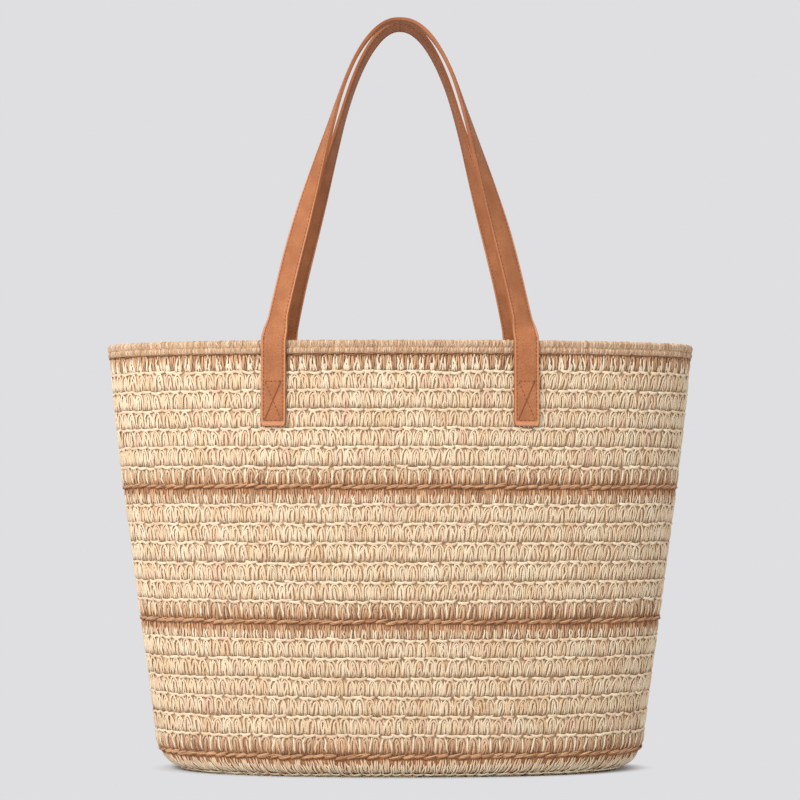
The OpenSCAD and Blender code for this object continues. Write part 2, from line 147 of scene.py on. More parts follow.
# One signal among a material's nodes. Sums on it add Math nodes
class Signal:
    def __init__(self, nodes, socket):
        self.nodes = nodes
        self.socket = socket

    def sum(self, operation, first, second):
        return self.nodes.node("ShaderNodeMath", {"operation": operation}, {0: first, 1: second})

    def __add__(self, other):
        return self.sum("ADD", self, other)

    def __sub__(self, other):
        return self.sum("SUBTRACT", self, other)

    def __mul__(self, other):
        return self.sum("MULTIPLY", self, other)

    def __rsub__(self, other):
        return self.sum("SUBTRACT", other, self)

    __radd__ = __add__
    __rmul__ = __mul__


# The nodes of a material or of the world
class Nodes:
    def __init__(self, tree):
        self.tree = tree

    def feed(self, socket, value):
        if isinstance(value, Signal):
            self.tree.links.new(value.socket, socket)
        else:
            socket.default_value = value

    # Adds a node: its settings are set first, then its sockets' values or links
    def node(self, kind, settings=None, inputs=None, output=0):
        made = self.tree.nodes.new(kind)
        for name, value in (settings or {}).items():
            setattr(made, name, value)
        for name, value in (inputs or {}).items():
            self.feed(made.inputs[name], value)
        return Signal(self, made.outputs[output])

    def attribute(self, name, output="Fac"):
        return self.node("ShaderNodeAttribute", {"attribute_name": name}, output=output)

    def objectPlace(self):
        return self.node("ShaderNodeTexCoord", output="Object")

    def stretch(self, vector, scale):
        return self.node("ShaderNodeVectorMath", {"operation": "MULTIPLY"}, {0: vector, 1: scale})

    def noise(self, vector, scale, detail=3.0, roughness=0.5):
        return self.node("ShaderNodeTexNoise", None, {"Vector": vector, "Scale": scale,
                                                      "Detail": detail, "Roughness": roughness})

    def cells(self, vector, scale):
        return self.node("ShaderNodeTexVoronoi", None, {"Vector": vector, "Scale": scale})

    # A signal brought from one range to another, held at the ends
    def ranged(self, value, low, high, toLow=0.0, toHigh=1.0):
        return self.node("ShaderNodeMapRange", {"interpolation_type": "SMOOTHSTEP"},
                         {"Value": value, "From Min": low, "From Max": high,
                          "To Min": toLow, "To Max": toHigh})

    def blend(self, share, first, second, mode="MIX"):
        return self.node("ShaderNodeMix", {"data_type": "RGBA", "blend_type": mode},
                         {0: share, 6: first, 7: second}, output=2)

    # 1 for what the camera sees, straight on, in metal or through glass
    def seen(self):
        rays = [self.node("ShaderNodeLightPath", output=f"Is {kind} Ray")
                for kind in ("Camera", "Glossy", "Transmission")]
        return rays[0] + rays[1] + rays[2]

    def shown(self, output, share, first, second):
        mixed = self.node("ShaderNodeMixShader", None, {0: share, 1: first, 2: second})
        self.feed(self.tree.nodes[output].inputs[0], mixed)


class Finish(Nodes):
    def __init__(self, name, roughness=0.6, metallic=0.0, specular=0.5):
        self.material = bpy.data.materials.new(name)
        self.material.use_nodes = True
        super().__init__(self.material.node_tree)
        self.shader = self.tree.nodes["Principled BSDF"]
        self.set("Roughness", roughness)
        self.set("Metallic", metallic)
        self.set("Specular IOR Level", specular)

    def set(self, name, value):
        self.feed(self.shader.inputs[name], value)

    def bump(self, height, distance, strength=1.0):
        self.set("Normal", self.node("ShaderNodeBump", None, {
            "Height": height, "Distance": distance, "Strength": strength}))


# A colour from its screen values
def colour(red, green, blue):
    def linear(value):
        share = value / 255
        return share / 12.92 if share <= 0.04045 else ((share + 0.055) / 1.055) ** 2.4

    return (linear(red), linear(green), linear(blue), 1.0)


strawColours = {
    "cream": colour(242, 223, 192),
    "straw": colour(228, 195, 156),
    "pink": colour(228, 188, 160),
    "brown": colour(216, 168, 126),
    "brownDark": colour(146, 94, 60),
    "tan": colour(228, 199, 168),
    "tanDark": colour(184, 144, 110),
    "inner": colour(220, 184, 146),
    # painted shade for the strands' ends, where they dive under their neighbours
    "paintedShade": colour(138, 98, 66),
}


# Paper straw yarn: "brown" says how far it is dyed, "tone" and "hue" vary from strand to strand
def strawFinish(name, dyed="brown", dyedDark="brownDark"):
    finish = Finish(name, roughness=0.62, specular=0.35)
    tone = finish.attribute("tone")
    hue = finish.attribute("hue")
    dye = finish.attribute("brown")
    place = finish.attribute("grain", "Vector")
    fibres = finish.noise(finish.stretch(place, (0.25, 3.0, 1.0)), 900.0, 2.0)
    blotch = finish.noise(place, 140.0, 2.0)
    shade = finish.ranged(tone + (blotch - 0.5) * 0.7, -0.9, 0.9)
    natural = finish.blend(shade, strawColours["straw"], strawColours["cream"])
    natural = finish.blend(finish.ranged(hue, 0.3, 1.1, 0.0, 0.75), natural, strawColours["pink"])
    dyedShade = finish.blend(shade, strawColours[dyedDark], strawColours[dyed])
    yarn = finish.blend(finish.ranged(dye, 0.0, 1.0), natural, dyedShade)
    # painted shade: a strand is painted darkest at its ends, where it dives under its neighbours
    along = finish.attribute("along")
    ends = finish.ranged(along, 0.0, 0.16, 0.7, 0.0) + finish.ranged(along, 0.86, 1.0, 0.0, 0.7)
    yarn = finish.blend(ends, yarn, strawColours["paintedShade"])
    specks = finish.noise(finish.stretch(place, (1.3, 3.0, 1.0)), 900.0, 2.0)
    streaks = finish.ranged(fibres * 0.5 + specks * 0.5, 0.36, 0.64, 0.78, 1.12)
    grey = finish.node("ShaderNodeCombineColor", None, {0: streaks, 1: streaks, 2: streaks})
    finish.set("Base Color", finish.blend(1.0, yarn, grey, "MULTIPLY"))
    finish.bump(fibres, 0.00012, 0.6)
    return finish.material


# Grained leather. "edge" is below 0 on a raised border and above 0 on a cut edge, and "crease"
# is the distance in millimetres to a sewn crease, far away where there is none; near it the colour gets
# painted shade
def leatherFinish(name, body, deep, pale, grain=1.0, roughness=0.55):
    finish = Finish(name, roughness=roughness, specular=0.2)
    place = finish.attribute("grain", "Vector")
    edge = finish.attribute("edge")
    away = finish.node("ShaderNodeMath", {"operation": "ABSOLUTE"}, {0: finish.attribute("crease")})
    crease = finish.ranged(away, 0.15, 1.0, 1.0, 0.0)
    pebbles = finish.cells(place, 950.0)
    fine = finish.noise(place, 1300.0, 3.0)
    clouds = finish.noise(place, 55.0, 3.0)
    height = pebbles * 0.75 + fine * 0.25 - crease * 1.6
    shade = finish.ranged(clouds + (fine - 0.5) * 0.4, 0.3, 0.72, 0.4, 0.9)
    tinted = finish.blend(shade, deep, body)
    tinted = finish.blend(finish.ranged(pebbles, 0.2, 0.75, 0.0, 0.5), tinted, deep)
    tinted = finish.blend(finish.ranged(edge, -1.0, 0.0, 0.75, 0.0), tinted, pale)
    tinted = finish.blend(finish.ranged(edge, 0.0, 1.0, 0.0, 0.6), tinted, deep)
    # painted shade: the sewn crease is painted darker, as if shaded in its groove
    finish.set("Base Color", finish.blend(crease * 0.75, tinted, colour(112, 62, 36)))
    finish.set("Roughness", finish.ranged(fine, 0.3, 0.7, roughness - 0.08, roughness + 0.1))
    finish.bump(height, 0.0003 * grain, 0.7)
    return finish.material


def threadFinish(name, body, deep):
    finish = Finish(name, roughness=0.55, specular=0.4)
    place = finish.attribute("grain", "Vector")
    twist = finish.node("ShaderNodeTexWave", {"bands_direction": "DIAGONAL"},
                        {"Vector": place, "Scale": 700.0, "Distortion": 0.6})
    finish.set("Base Color", finish.blend(twist, deep, body))
    finish.bump(twist, 0.00012, 0.7)
    return finish.material


naturalStraw = strawFinish("naturalStraw")
rimStraw = strawFinish("rimStraw", "tan", "tanDark")


# The crochet's inner side, seen between the strands
def innerFinish():
    finish = Finish("innerStraw", roughness=0.8, specular=0.2)
    place = finish.objectPlace()
    knots = finish.cells(place, 420.0)
    fibres = finish.noise(finish.stretch(place, (1.0, 1.0, 0.3)), 900.0)
    dye = finish.attribute("brown")
    yarn = finish.blend(dye, strawColours["inner"], colour(176, 118, 78))
    shade = finish.ranged(knots + fibres * 0.5, 0.2, 1.1, 0.0, 0.4)
    finish.set("Base Color", finish.blend(shade, yarn, colour(180, 142, 106)))
    finish.bump(knots, 0.0006, 0.8)
    return finish.material


innerStraw = innerFinish()
strapLeather = leatherFinish("strapLeather", colour(192, 126, 83), colour(146, 86, 53),
                             colour(214, 148, 108), roughness=0.6)
stitchThread = threadFinish("stitchThread", colour(160, 96, 60), colour(112, 62, 38))
print("materials made")


# ---- Shared making


def newPiece(name, mesh, material, smooth=True):
    piece = bpy.data.objects.new(name, mesh)
    bpy.context.scene.collection.objects.link(piece)
    mesh.materials.clear()
    mesh.materials.append(material)
    if smooth:
        mesh.polygons.foreach_set("use_smooth", np.ones(len(mesh.polygons), bool))
    return piece


# A piece in place of the CAD nodes that it shows, on the body that carries it
def addPiece(name, mesh, material, slot, *nodes, body="bag"):
    piece = newPiece(name, mesh, material)
    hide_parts(*nodes)
    if body:
        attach(piece, body)
    return piece


def meshFrom(bm, name):
    bmesh.ops.recalc_face_normals(bm, faces=bm.faces)
    mesh = bpy.data.meshes.new(name)
    bm.to_mesh(mesh)
    bm.free()
    return mesh


def readPoints(mesh):
    flat = np.zeros(len(mesh.vertices) * 3, np.float32)
    mesh.vertices.foreach_get("co", flat)
    return flat.reshape(-1, 3).astype(float)


def writePoints(mesh, points):
    mesh.vertices.foreach_set("co", np.asarray(points, np.float32).ravel())
    mesh.update()


def readValues(mesh, name, kind=np.float32):
    values = np.zeros(len(mesh.vertices), kind)
    mesh.attributes[name].data.foreach_get("value", values)
    return values if kind == np.int32 else values.astype(float)


def writeValues(mesh, name, values):
    held = mesh.attributes.get(name) or mesh.attributes.new(name, "FLOAT", "POINT")
    held.data.foreach_set("value", np.asarray(values, np.float32))


def writeVectors(mesh, name, values):
    held = mesh.attributes.get(name) or mesh.attributes.new(name, "FLOAT_VECTOR", "POINT")
    held.data.foreach_set("vector", np.asarray(values, np.float32).ravel())


# Turns a finished mesh's faces outwards and gives it the places that its material reads
def finishSheet(mesh, grain):
    bm = bmesh.new()
    bm.from_mesh(mesh)
    bmesh.ops.recalc_face_normals(bm, faces=bm.faces)
    bm.to_mesh(mesh)
    bm.free()
    writeVectors(mesh, "grain", grain)
    return mesh


# Pushes one ring of points along a run of stations, face after face, into a closed tube.
# ringAt gives the ring's points at a station
def sweep(bm, ringAt, stations):
    slot = bm.verts.layers.int.get("slot") or bm.verts.layers.int.new("slot")
    station = bm.verts.layers.int.get("station") or bm.verts.layers.int.new("station")
    ring = [bm.verts.new(p) for p in ringAt(0)]
    for index, vert in enumerate(ring):
        vert[slot] = index
        vert[station] = 0
    face = bm.faces.new(ring)
    made = list(ring)
    for k in range(1, stations):
        grown = bmesh.ops.extrude_face_region(bm, geom=[face, *face.edges])["geom"]
        places = ringAt(k)
        for item in grown:
            if isinstance(item, bmesh.types.BMVert):
                item.co = places[item[slot]]
                item[station] = k
                made.append(item)
        face = next(item for item in grown if isinstance(item, bmesh.types.BMFace))
    return made


# A closed solid through rings of points, from its first cap to its last. As a band, which goes
# right round, its last ring is joined to its first
def loftMesh(name, rings, band=False):
    bm = bmesh.new()
    sweep(bm, lambda k: [Vector(p) for p in rings[k]], len(rings))
    if band:
        caps = [face for face in bm.faces if len(face.verts) == len(rings[0])]
        bmesh.ops.delete(bm, geom=caps, context="FACES_ONLY")
        bmesh.ops.bridge_loops(bm, edges=[edge for edge in bm.edges if edge.is_boundary])
    return meshFrom(bm, name)


# A smooth run of points through a few chosen ones
def smoothRun(points, count):
    points = np.asarray(points, float)
    places = np.linspace(0, len(points) - 1, count)
    padded = np.vstack([2 * points[0] - points[1], points, 2 * points[-1] - points[-2]])
    out = []
    for place in places:
        i = min(int(place), len(points) - 2)
        t = place - i
        a, b, c, d = padded[i:i + 4]
        out.append(0.5 * (2 * b + (c - a) * t + (2 * a - 5 * b + 4 * c - d) * t * t
                          + (3 * b - a - 3 * c + d) * t ** 3))
    return np.array(out)


# ---- Crochet. One stitch is a few strands, in shares of the stitch's width and the row's height,
# with each point's depth under the surface in millimetres

crochet = {
    "pitch": 8.6 * mm,
    "rowsBetween": 7,
    "bareRows": 3,
    "strandWidth": 1.12,
    "strandThickness": 0.62,
    "shiftSideways": 0.35 * mm,
    "shiftUp": 0.4 * mm,
    "strandShift": 0.32 * mm,
    "strandLean": 0.09,
    "wobble": 0.45 * mm,
    "proud": 0.2 * mm,
    "rowWave": 0.5 * mm,
    "lowest": 0.4 * mm,
    "offFloor": 0.05 * mm,
    "baseRounds": 4,
    "baseOverlap": 4 * mm,
    "baseDepth": 0.6 * mm,
    "seed": 7,
}
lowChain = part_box("lower_stripe")[1].z - 2.5 * mm
rowHeight = (rimLine - lowChain) / (crochet["bareRows"] * crochet["rowsBetween"])


def strand(path, width=1.0, thickness=1.0, dye=(0.0, 0.0), light=0.0, steps=5, taper=0.55):
    return {"path": path, "width": width, "thickness": thickness, "dye": dye,
            "light": light, "steps": steps, "taper": taper}


# A nearly upright strand from its foot to its head
def post(x, low, high, lean=0.0, dye=(0.0, 0.0), light=0.0, width=1.4, deep=0.7):
    return strand([(x - lean, low, deep + 0.7), (x + lean * 0.2, (low + high) / 2, deep),
                   (x + lean, high, deep + 0.6)], width, 1.0, dye, light, 3)


def chainLink(light=0.15):
    return [strand([(-0.12, 1.09, 1.2), (0.14, 1.05, 0.4), (0.44, 1.02, 0.2), (0.74, 1.04, 0.3),
                    (1.10, 1.10, 1.2)], 1.9, 1.2, (0.0, 0.0), light, 5, 0.6)]


def archStrands(dyeLow=0.0, dyeHigh=0.0):
    dye = (dyeLow, dyeHigh, dyeLow)
    return [
        strand([(0.11, 0.04, 1.2), (0.11, 0.45, 0.6), (0.20, 0.84, 0.6), (0.50, 0.99, 0.7),
                (0.80, 0.84, 0.6), (0.89, 0.45, 0.6), (0.89, 0.04, 1.2)],
               1.3, 1.0, dye, 0.05, 7, 0.7),
        strand([(0.31, 0.03, 1.2), (0.30, 0.42, 0.6), (0.36, 0.74, 0.7), (0.50, 0.86, 0.9),
                (0.64, 0.74, 0.7), (0.70, 0.42, 0.6), (0.69, 0.03, 1.2)],
               1.3, 1.0, dye, 0.0, 6, 0.7),
        post(0.50, 0.03, 0.78, 0.03, (dyeLow, dyeHigh), 0.15, 1.25, 0.5),
        post(0.00, 0.04, 0.97, 0.02, (dyeLow, dyeHigh), 0.1, 1.35, 0.7),
    ]


def dyedPosts(low, high, dye=(0.75, 1.0), light=0.1, width=1.15):
    return [post(0.26, low, high, -0.015, dye, light, width),
            post(0.42, low - 0.04, high, 0.01, dye, light + 0.15, width, 0.6),
            post(0.58, low - 0.02, high, -0.01, dye, light - 0.1, width, 0.6),
            post(0.74, low, high, 0.015, dye, light, width)]


def paleTooth(top=0.64, low=0.02, light=0.45):
    return [post(-0.13, low, top, 0.025, (0.0, 0.15), light, 1.15, 0.4),
            post(0.13, low, top - 0.03, -0.025, (0.0, 0.15), light, 1.15, 0.4),
            post(0.00, low + 0.03, 0.86, 0.0, (0.35, 1.0), -0.2, 1.2, 1.4)]


# The dyed chain is laid of three fine strands, and each link runs under the next. Its lowest strand is
# painted darker and its middle one lighter: painted shade under the chain and a painted highlight along it
def ropeLink():
    return [strand([(-0.22, 0.95 + rise, 1.8), (0.12, 0.975 + rise, 0.6), (0.48, 1.02 + rise, 0.0),
                    (0.86, 1.06 + rise, 0.4), (1.16, 1.07 + rise, 1.7)],
                   1.05, 1.4, (1.0, 1.0), light, 4, 0.4)
            for rise, light in ((-0.06, -0.4), (-0.005, 0.8), (0.045, 0.3))]


stitches = {
    "plain": chainLink() + archStrands(),
    "aboveDyed": chainLink() + archStrands(1.0, 0.3)
    + [post(0.0, 0.14, 0.98, 0.01, (0.0, 0.0), 1.0, 1.35, 0.0)],
    "belowDyed": ropeLink() + dyedPosts(0.10, 0.90, (0.3, 1.0), 0.2) + paleTooth(),
    # the first strand, the dyed link under the binding, is painted very dark: painted shade under the rim's
    # edge
    "underRim": [strand([(-0.15, 0.92, 1.2), (0.30, 0.94, 0.2), (0.75, 0.98, 0.1),
                         (1.12, 1.04, 1.2)], 0.9, 0.8, (1.0, 1.0), -1.5, 4, 0.5)]
    + dyedPosts(0.14, 1.02, (0.65, 0.85), 0.15)
    + [post(-0.18, 0.03, 0.84, 0.06, (0.0, 0.1), 0.6, 1.35, 0.5),
       post(0.18, 0.03, 0.82, -0.06, (0.0, 0.1), 0.6, 1.35, 0.5),
       post(-0.05, 0.03, 0.50, 0.02, (0.0, 0.0), 0.5, 1.3, 0.7),
       post(0.06, 0.03, 0.46, -0.02, (0.0, 0.0), 0.4, 1.2, 0.7),
       post(0.0, 0.74, 1.0, 0.0, (0.2, 0.8), 0.1, 1.3, 1.0)],
    "bottom": ropeLink() + dyedPosts(0.16, 0.88, (0.0, 0.7), 0.7) + paleTooth(0.66, 0.04, 0.7)
    + [strand([(-0.08, 0.10, 1.2), (0.20, 0.05, 0.6), (0.52, 0.03, 0.5), (0.84, 0.07, 0.7),
               (1.06, 0.12, 1.3)], 1.8, 1.3, (0.0, 0.1), 0.5, 5)],
}


# The stitch as a mesh in millimetres, x along the row, y up and z out of the wall
def stitchMesh(name, strands, length, pitch=crochet["pitch"]):
    bm = bmesh.new()
    for key in ("brown", "light", "along"):
        bm.verts.layers.float.new(key)
    bm.verts.layers.int.new("strand")
    size = np.array([pitch, length]) / mm
    for index, one in enumerate(strands):
        line = smoothRun(one["path"], one["steps"] + 1)
        line[:, :2] *= size
        line[:, 2] *= -1
        travel = np.gradient(line, axis=0)
        travel /= np.linalg.norm(travel, axis=1)[:, None]
        width = one["width"] * crochet["strandWidth"] / 2
        thickness = one["thickness"] * crochet["strandThickness"]

        def ringAt(k):
            share = k / one["steps"]
            swell = one["taper"] + (1 - one["taper"]) * math.sin(math.pi * share) ** 0.5
            across = np.cross(travel[k], (0, 0, 1))
            across /= np.linalg.norm(across)
            out = np.cross(across, travel[k])
            # the crown, and the two edges of its flat underside
            sides = [across * width, out * thickness, -across * width]
            return [line[k] + side * swell for side in sides]

        for vert in sweep(bm, ringAt, one["steps"] + 1):
            floats, whole = bm.verts.layers.float, bm.verts.layers.int
            share = vert[whole["station"]] / one["steps"]
            vert[floats["brown"]] = np.interp(share, np.linspace(0, 1, len(one["dye"])), one["dye"])
            vert[floats["light"]] = one["light"]
            vert[floats["along"]] = share
            vert[whole["strand"]] = index
    # only the crown is rounded: the edges of the flat underside stay sharp
    slot = bm.verts.layers.int["slot"]
    for edge in bm.edges:
        edge.smooth = edge.verts[0][slot] == 1 or edge.verts[1][slot] == 1
    return meshFrom(bm, name)


stitchMeshes = {kind: stitchMesh("stitch_" + kind, strands, rowHeight)
                for kind, strands in stitches.items()}
print("stitches made:", {kind: len(mesh.polygons) for kind, mesh in stitchMeshes.items()})


# Repeats a stitch mesh along x and gives the one long mesh
def repeated(mesh, count, step):
    holder = bpy.data.objects.new("holder", mesh)
    bpy.context.scene.collection.objects.link(holder)
    array = holder.modifiers.new("Array", "ARRAY")
    array.count = count
    array.use_relative_offset = False
    array.use_constant_offset = True
    array.constant_offset_displace = (step, 0, 0)
    held = holder.evaluated_get(bpy.context.evaluated_depsgraph_get())
    made = bpy.data.meshes.new_from_object(held)
    bpy.data.objects.remove(holder)
    return made


# One round of stitches. surface(angle, height, depth) places them, where height runs 0 to 1
def crochetRound(kind, surface, seed, length=rowHeight, step=crochet["pitch"]):
    def midline(angle):
        return surface(angle, 0.5 + 0 * angle, 0 * angle)

    rng = np.random.default_rng(crochet["seed"] + seed)
    count = int(round(lengthRound(midline) / step))
    template = stitchMeshes[kind]
    strands = readValues(template, "strand", np.int32).max() + 1
    pitch = step / mm
    mesh = repeated(template, count, pitch)
    points = readPoints(mesh)
    stitch = np.arange(len(points)) // len(template.vertices)
    part = readValues(mesh, "strand", np.int32)
    row = length / mm

    # every stitch and every strand in it sits a little differently
    def varied(name, *shape):
        return rng.normal(0, crochet[name] / mm, shape)

    sideways = varied("shiftSideways", count)
    upward = varied("shiftUp", count)
    wave = np.cumsum(rng.normal(0, 1, count))
    wave -= np.linspace(wave[0], wave[-1], count)
    wave = np.convolve(np.r_[wave[-6:], wave, wave[:6]], np.ones(13) / 13, "valid")
    wave *= crochet["rowWave"] / mm / max(1e-6, np.abs(wave).max())
    shift = varied("strandShift", count, strands)
    lean = rng.normal(0, crochet["strandLean"], (count, strands))
    proud = varied("proud", count, strands)
    phase = rng.uniform(0, 2 * math.pi, (2, count, strands))[:, stitch, part]
    bend = varied("wobble", 2, count, strands)[:, stitch, part]
    along = readValues(mesh, "along")
    height = points[:, 1] / row
    x = (points[:, 0] + sideways[stitch] + shift[stitch, part]
         + lean[stitch, part] * (height - 0.5) * rowHeight / mm
         + bend[0] * np.sin(2 * math.pi * along * 1.3 + phase[0]))
    y = (points[:, 1] + upward[stitch] * np.minimum(height, 1) + wave[stitch]
         + 0.5 * bend[1] * np.sin(2 * math.pi * along + phase[1]))
    depth = (-points[:, 2] - proud[stitch, part]) * mm
    places = surface(evenAngles(midline, x / (count * pitch))[0], y / row, depth)
    # what would hang below the base is pressed flat on the floor
    places[:, 2] = np.maximum(places[:, 2], crochet["offFloor"])
    writePoints(mesh, places)
    tone = rng.normal(0, 0.25, (count, strands)) + rng.normal(0, 0.2, count)[:, None]
    hue = rng.normal(0, 0.4, (count, strands)) + rng.normal(0, 0.35, count)[:, None]
    # each strand's "light" joins its random tone: mostly the yarn's own lightness, but on the rope and under
    # the rim it is painted shade and highlight
    writeValues(mesh, "tone", tone[stitch, part] + readValues(mesh, "light"))
    writeValues(mesh, "hue", hue[stitch, part])
    offset = rng.uniform(0, 1, (count, strands))
    corner = (np.arange(len(points)) % 3) / 3
    writeVectors(mesh, "grain", np.stack([along * 0.012, corner * 0.003, offset[stitch, part]], -1))
    return mesh


def wallRow(top, bottom):
    def surface(angle, height, depth):
        z = bottom + (top - bottom) * height
        return wallPoint(angle, np.maximum(z, crochet["lowest"]), depth)
    return surface


sections = ["upper", "middle", "lower"]
perSection = crochet["rowsBetween"]
for row in range(crochet["bareRows"] * perSection):
    top = rimLine - row * rowHeight
    index, inSection = divmod(row, perSection)
    nodes = [sections[index] + "_courses"]
    kind = "plain"
    if inSection == perSection - 1:
        kind = "aboveDyed"
    elif row == 0:
        kind = "underRim"
    elif inSection == 0:
        kind = "belowDyed"
        nodes.append(sections[index - 1] + "_stripe")
    mesh = crochetRound(kind, wallRow(top, top - rowHeight), row)
    addPiece(f"{sections[index]}_row_{inSection + 1}", mesh, naturalStraw, "natural_straw", *nodes)
mesh = crochetRound("bottom", wallRow(lowChain, 1.2 * mm), 40)
addPiece("base_edge_row", mesh, naturalStraw, "natural_straw", "lower_stripe", "base_oval")
print("rows made")

# The flat base is rounds inside the edge
overlap = crochet["baseOverlap"]
roundDepth = (baseReach[1] + overlap) / crochet["baseRounds"]


def baseRow(index):
    outer = index * roundDepth - overlap

    def surface(angle, height, depth):
        inset = np.minimum(outer + (1 - height) * roundDepth, baseReach[1] - 0.2 * mm)
        return basePoint(angle, inset, depth + crochet["baseDepth"])
    return surface


for index in range(crochet["baseRounds"]):
    mesh = crochetRound("plain", baseRow(index), 50 + index)
    addPiece(f"base_row_{index + 1}", mesh, naturalStraw, "natural_straw", "base_oval")

# The inner side of the crochet, a closed cup just under the strands. Its dye starts and ends at
# these heights below a chain, in millimetres
innerSide = {"points": 176, "depth": 1.9 * mm, "thickness": 2.2 * mm, "underTop": 3.6 * mm,
             "dyed": (-6, 13), "dyeFades": 3}
depth, thickness = innerSide["depth"], innerSide["thickness"]
angles = anglesRound(innerSide["points"])
levels = np.r_[depth + np.array([0, 1.2, 3, 6, 10, 15, 22]) * mm,
               np.linspace(depth + 30 * mm, bagHeight - innerSide["underTop"], 40)]
above = levels[levels >= depth + thickness]
rings = [wallPoint(angles, z, depth) for z in levels]
rings += [wallPoint(angles, z, depth + thickness) for z in [*above[::-1], depth + thickness]]
mesh = loftMesh("crochet_inner_side", rings)
height = readPoints(mesh)[:, 2]
dyed = np.zeros(len(height))
(dyeFrom, dyeTo), fades = innerSide["dyed"], innerSide["dyeFades"]
for chain in range(crochet["bareRows"] + 1):
    below = (rimLine - chain * perSection * rowHeight - height) / mm
    inside = np.clip((below - dyeFrom) / fades, 0, 1) * np.clip((dyeTo - below) / fades, 0, 1)
    dyed = np.maximum(dyed, inside)
writeValues(mesh, "brown", dyed)
addPiece("crochet_inner_side", mesh, innerStraw, "natural_straw",
         "upper_courses", "middle_courses", "lower_courses", "base_oval")

# ---- Rim: dense tan straw folded over the edge

rim = {
    "proud": 0.8 * mm,
    "under": 0.3 * mm,
    "shoulder": 2.6 * mm,
    "roundness": 0.75,
    "pitch": 4.3 * mm,
    "strands": 4,
    "strandWidth": 1.05,
    "core": (0.8 * mm, 1.6 * mm),
    "coreDye": 0.4,
}
rimInner = bag["liningDepth"] + bag["liningThickness"] + rim["proud"]


# The binding's line from its outer edge over the top to its inner edge, as depth and height,
# with the direction that faces out of it
def bindingLine():
    half = (rimInner + rim["proud"]) / 2
    turn = np.linspace(math.pi, 0, 25)
    power = rim["roundness"]
    arcDepth = half - rim["proud"] + half * np.sign(np.cos(turn)) * np.abs(np.cos(turn)) ** power
    arcZ = bagHeight - rim["shoulder"] + rim["shoulder"] * np.abs(np.sin(turn)) ** power
    legs = np.linspace(rimLine - rim["under"], bagHeight - rim["shoulder"], 8)[:-1]
    depth = np.r_[0 * legs - rim["proud"], arcDepth, 0 * legs + rimInner]
    height = np.r_[legs, arcZ, legs[::-1]]
    run = np.r_[0, np.cumsum(np.hypot(np.diff(depth), np.diff(height)))]
    facing = np.stack([-np.gradient(height, run), np.gradient(depth, run)], -1)
    facing /= np.linalg.norm(facing, axis=1)[:, None]
    return run, depth, height, facing


bindingRun, bindingDepth, bindingZ, bindingFacing = bindingLine()


def rimSurface(angle, height, depth):
    run = height * bindingRun[-1]
    d, z, faceD, faceZ = (np.interp(run, bindingRun, table)
                          for table in (bindingDepth, bindingZ, *bindingFacing.T))
    # below the outer edge the strands run straight on
    z = z + np.minimum(run, 0)
    return wallPoint(angle, z - faceZ * depth, d - faceD * depth)


# Short strands in three steps over the binding, which overlap where one row meets the next
def rimStrands():
    made = []
    steps = [(-0.01, 0.17, 0.9, 2), (0.14, 0.46, 0.9, 4), (0.43, 1.0, 0.8, 3)]
    for index in range(rim["strands"]):
        for level, (low, high, dye, count) in enumerate(steps):
            x = (index + 0.5 + 0.3 * (level % 2)) / rim["strands"]
            lean = 0.05 * (1 - 2 * (level % 2))
            pale = (index + 2 * level) % 4 == 0
            made.append(strand([(x - lean, low, 1.1), (x, (2 * low + high) / 3, 0.45),
                                (x, (low + 2 * high) / 3, 0.45), (x + lean, high, 1.1)],
                               rim["strandWidth"], 1.0, (dye, dye), 0.5 if pale else -0.15,
                               count, 0.6))
    return made


stitchMeshes["rim"] = stitchMesh("stitch_rim", rimStrands(), bindingRun[-1], rim["pitch"])
mesh = crochetRound("rim", rimSurface, 60, bindingRun[-1], rim["pitch"])
addPiece("rim_straw", mesh, rimStraw, "rim_straw", "rim_binding")
coreLine = list(range(0, len(bindingRun), 2))
coreRings = [wallPoint(angles, bindingZ[k] - inset * bindingFacing[k, 1],
                       bindingDepth[k] - inset * bindingFacing[k, 0])
             for inset, line in zip(rim["core"], (coreLine, coreLine[::-1])) for k in line]
mesh = loftMesh("rim_core", coreRings, band=True)
writeValues(mesh, "brown", np.full(len(mesh.vertices), rim["coreDye"]))
addPiece("rim_core", mesh, innerStraw, "rim_straw", "rim_binding")
print("rim made")

# ---- Handles: each is one strap, sewn flat to the wall at both ends

strap = {
    "width": 20 * mm,
    "thickness": 3 * mm,
    "halfSpread": 100 * mm,
    "archPower": 2.05,
    "rise": 270 * mm,
    "legSag": 4 * mm,
    "sagPower": 1.3,
    "leanIn": 20 * mm,
    "leanPowers": (5.5, 8),
    # the turn about the strap's own line, and over which shares of its height it comes
    "legTurn": math.radians(36),
    "legTurnEnd": 0.075,
    "topTurn": math.radians(83),
    "topTurnFrom": 0.24,
    "topTurnOver": 0.57,
    "topGap": 1 * mm,
    "wallGap": 0.35 * mm,
    "cornerRadius": 3 * mm,
    "seamInset": 2.2 * mm,
    "groove": 0.28 * mm,
    "grooveWidth": 0.75 * mm,
    "crown": 0.22 * mm,
    "edgeRound": 0.7 * mm,
    "wrinkle": 0.22 * mm,
    # by the rim: how far above or below it, how deep, how wide, and the slant
    "creases": ((0.0 * mm, -1.0, 1.6 * mm, 0.10), (-5.0 * mm, 0.6, 2.2 * mm, -0.2),
                (4.5 * mm, 0.5, 2.0 * mm, 0.15), (-10.5 * mm, -0.35, 2.0 * mm, 0.25)),
    # where the part's own handle bends: its depth, and from which height to which about the fold
    "bendDepth": 72.3 * mm,
    "bendFrom": -0.5 * mm,
    "bendTo": 17 * mm,
}
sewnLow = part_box("front_left_end_face")[0].z
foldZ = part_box("front_strap_face")[0].z
archTop = bagHeight + strap["rise"]
overBinding = [rimLine - 5 * mm, rimLine - 1 * mm]


def eased(share):
    return 0.5 - 0.5 * np.cos(math.pi * np.clip(share, 0, 1))


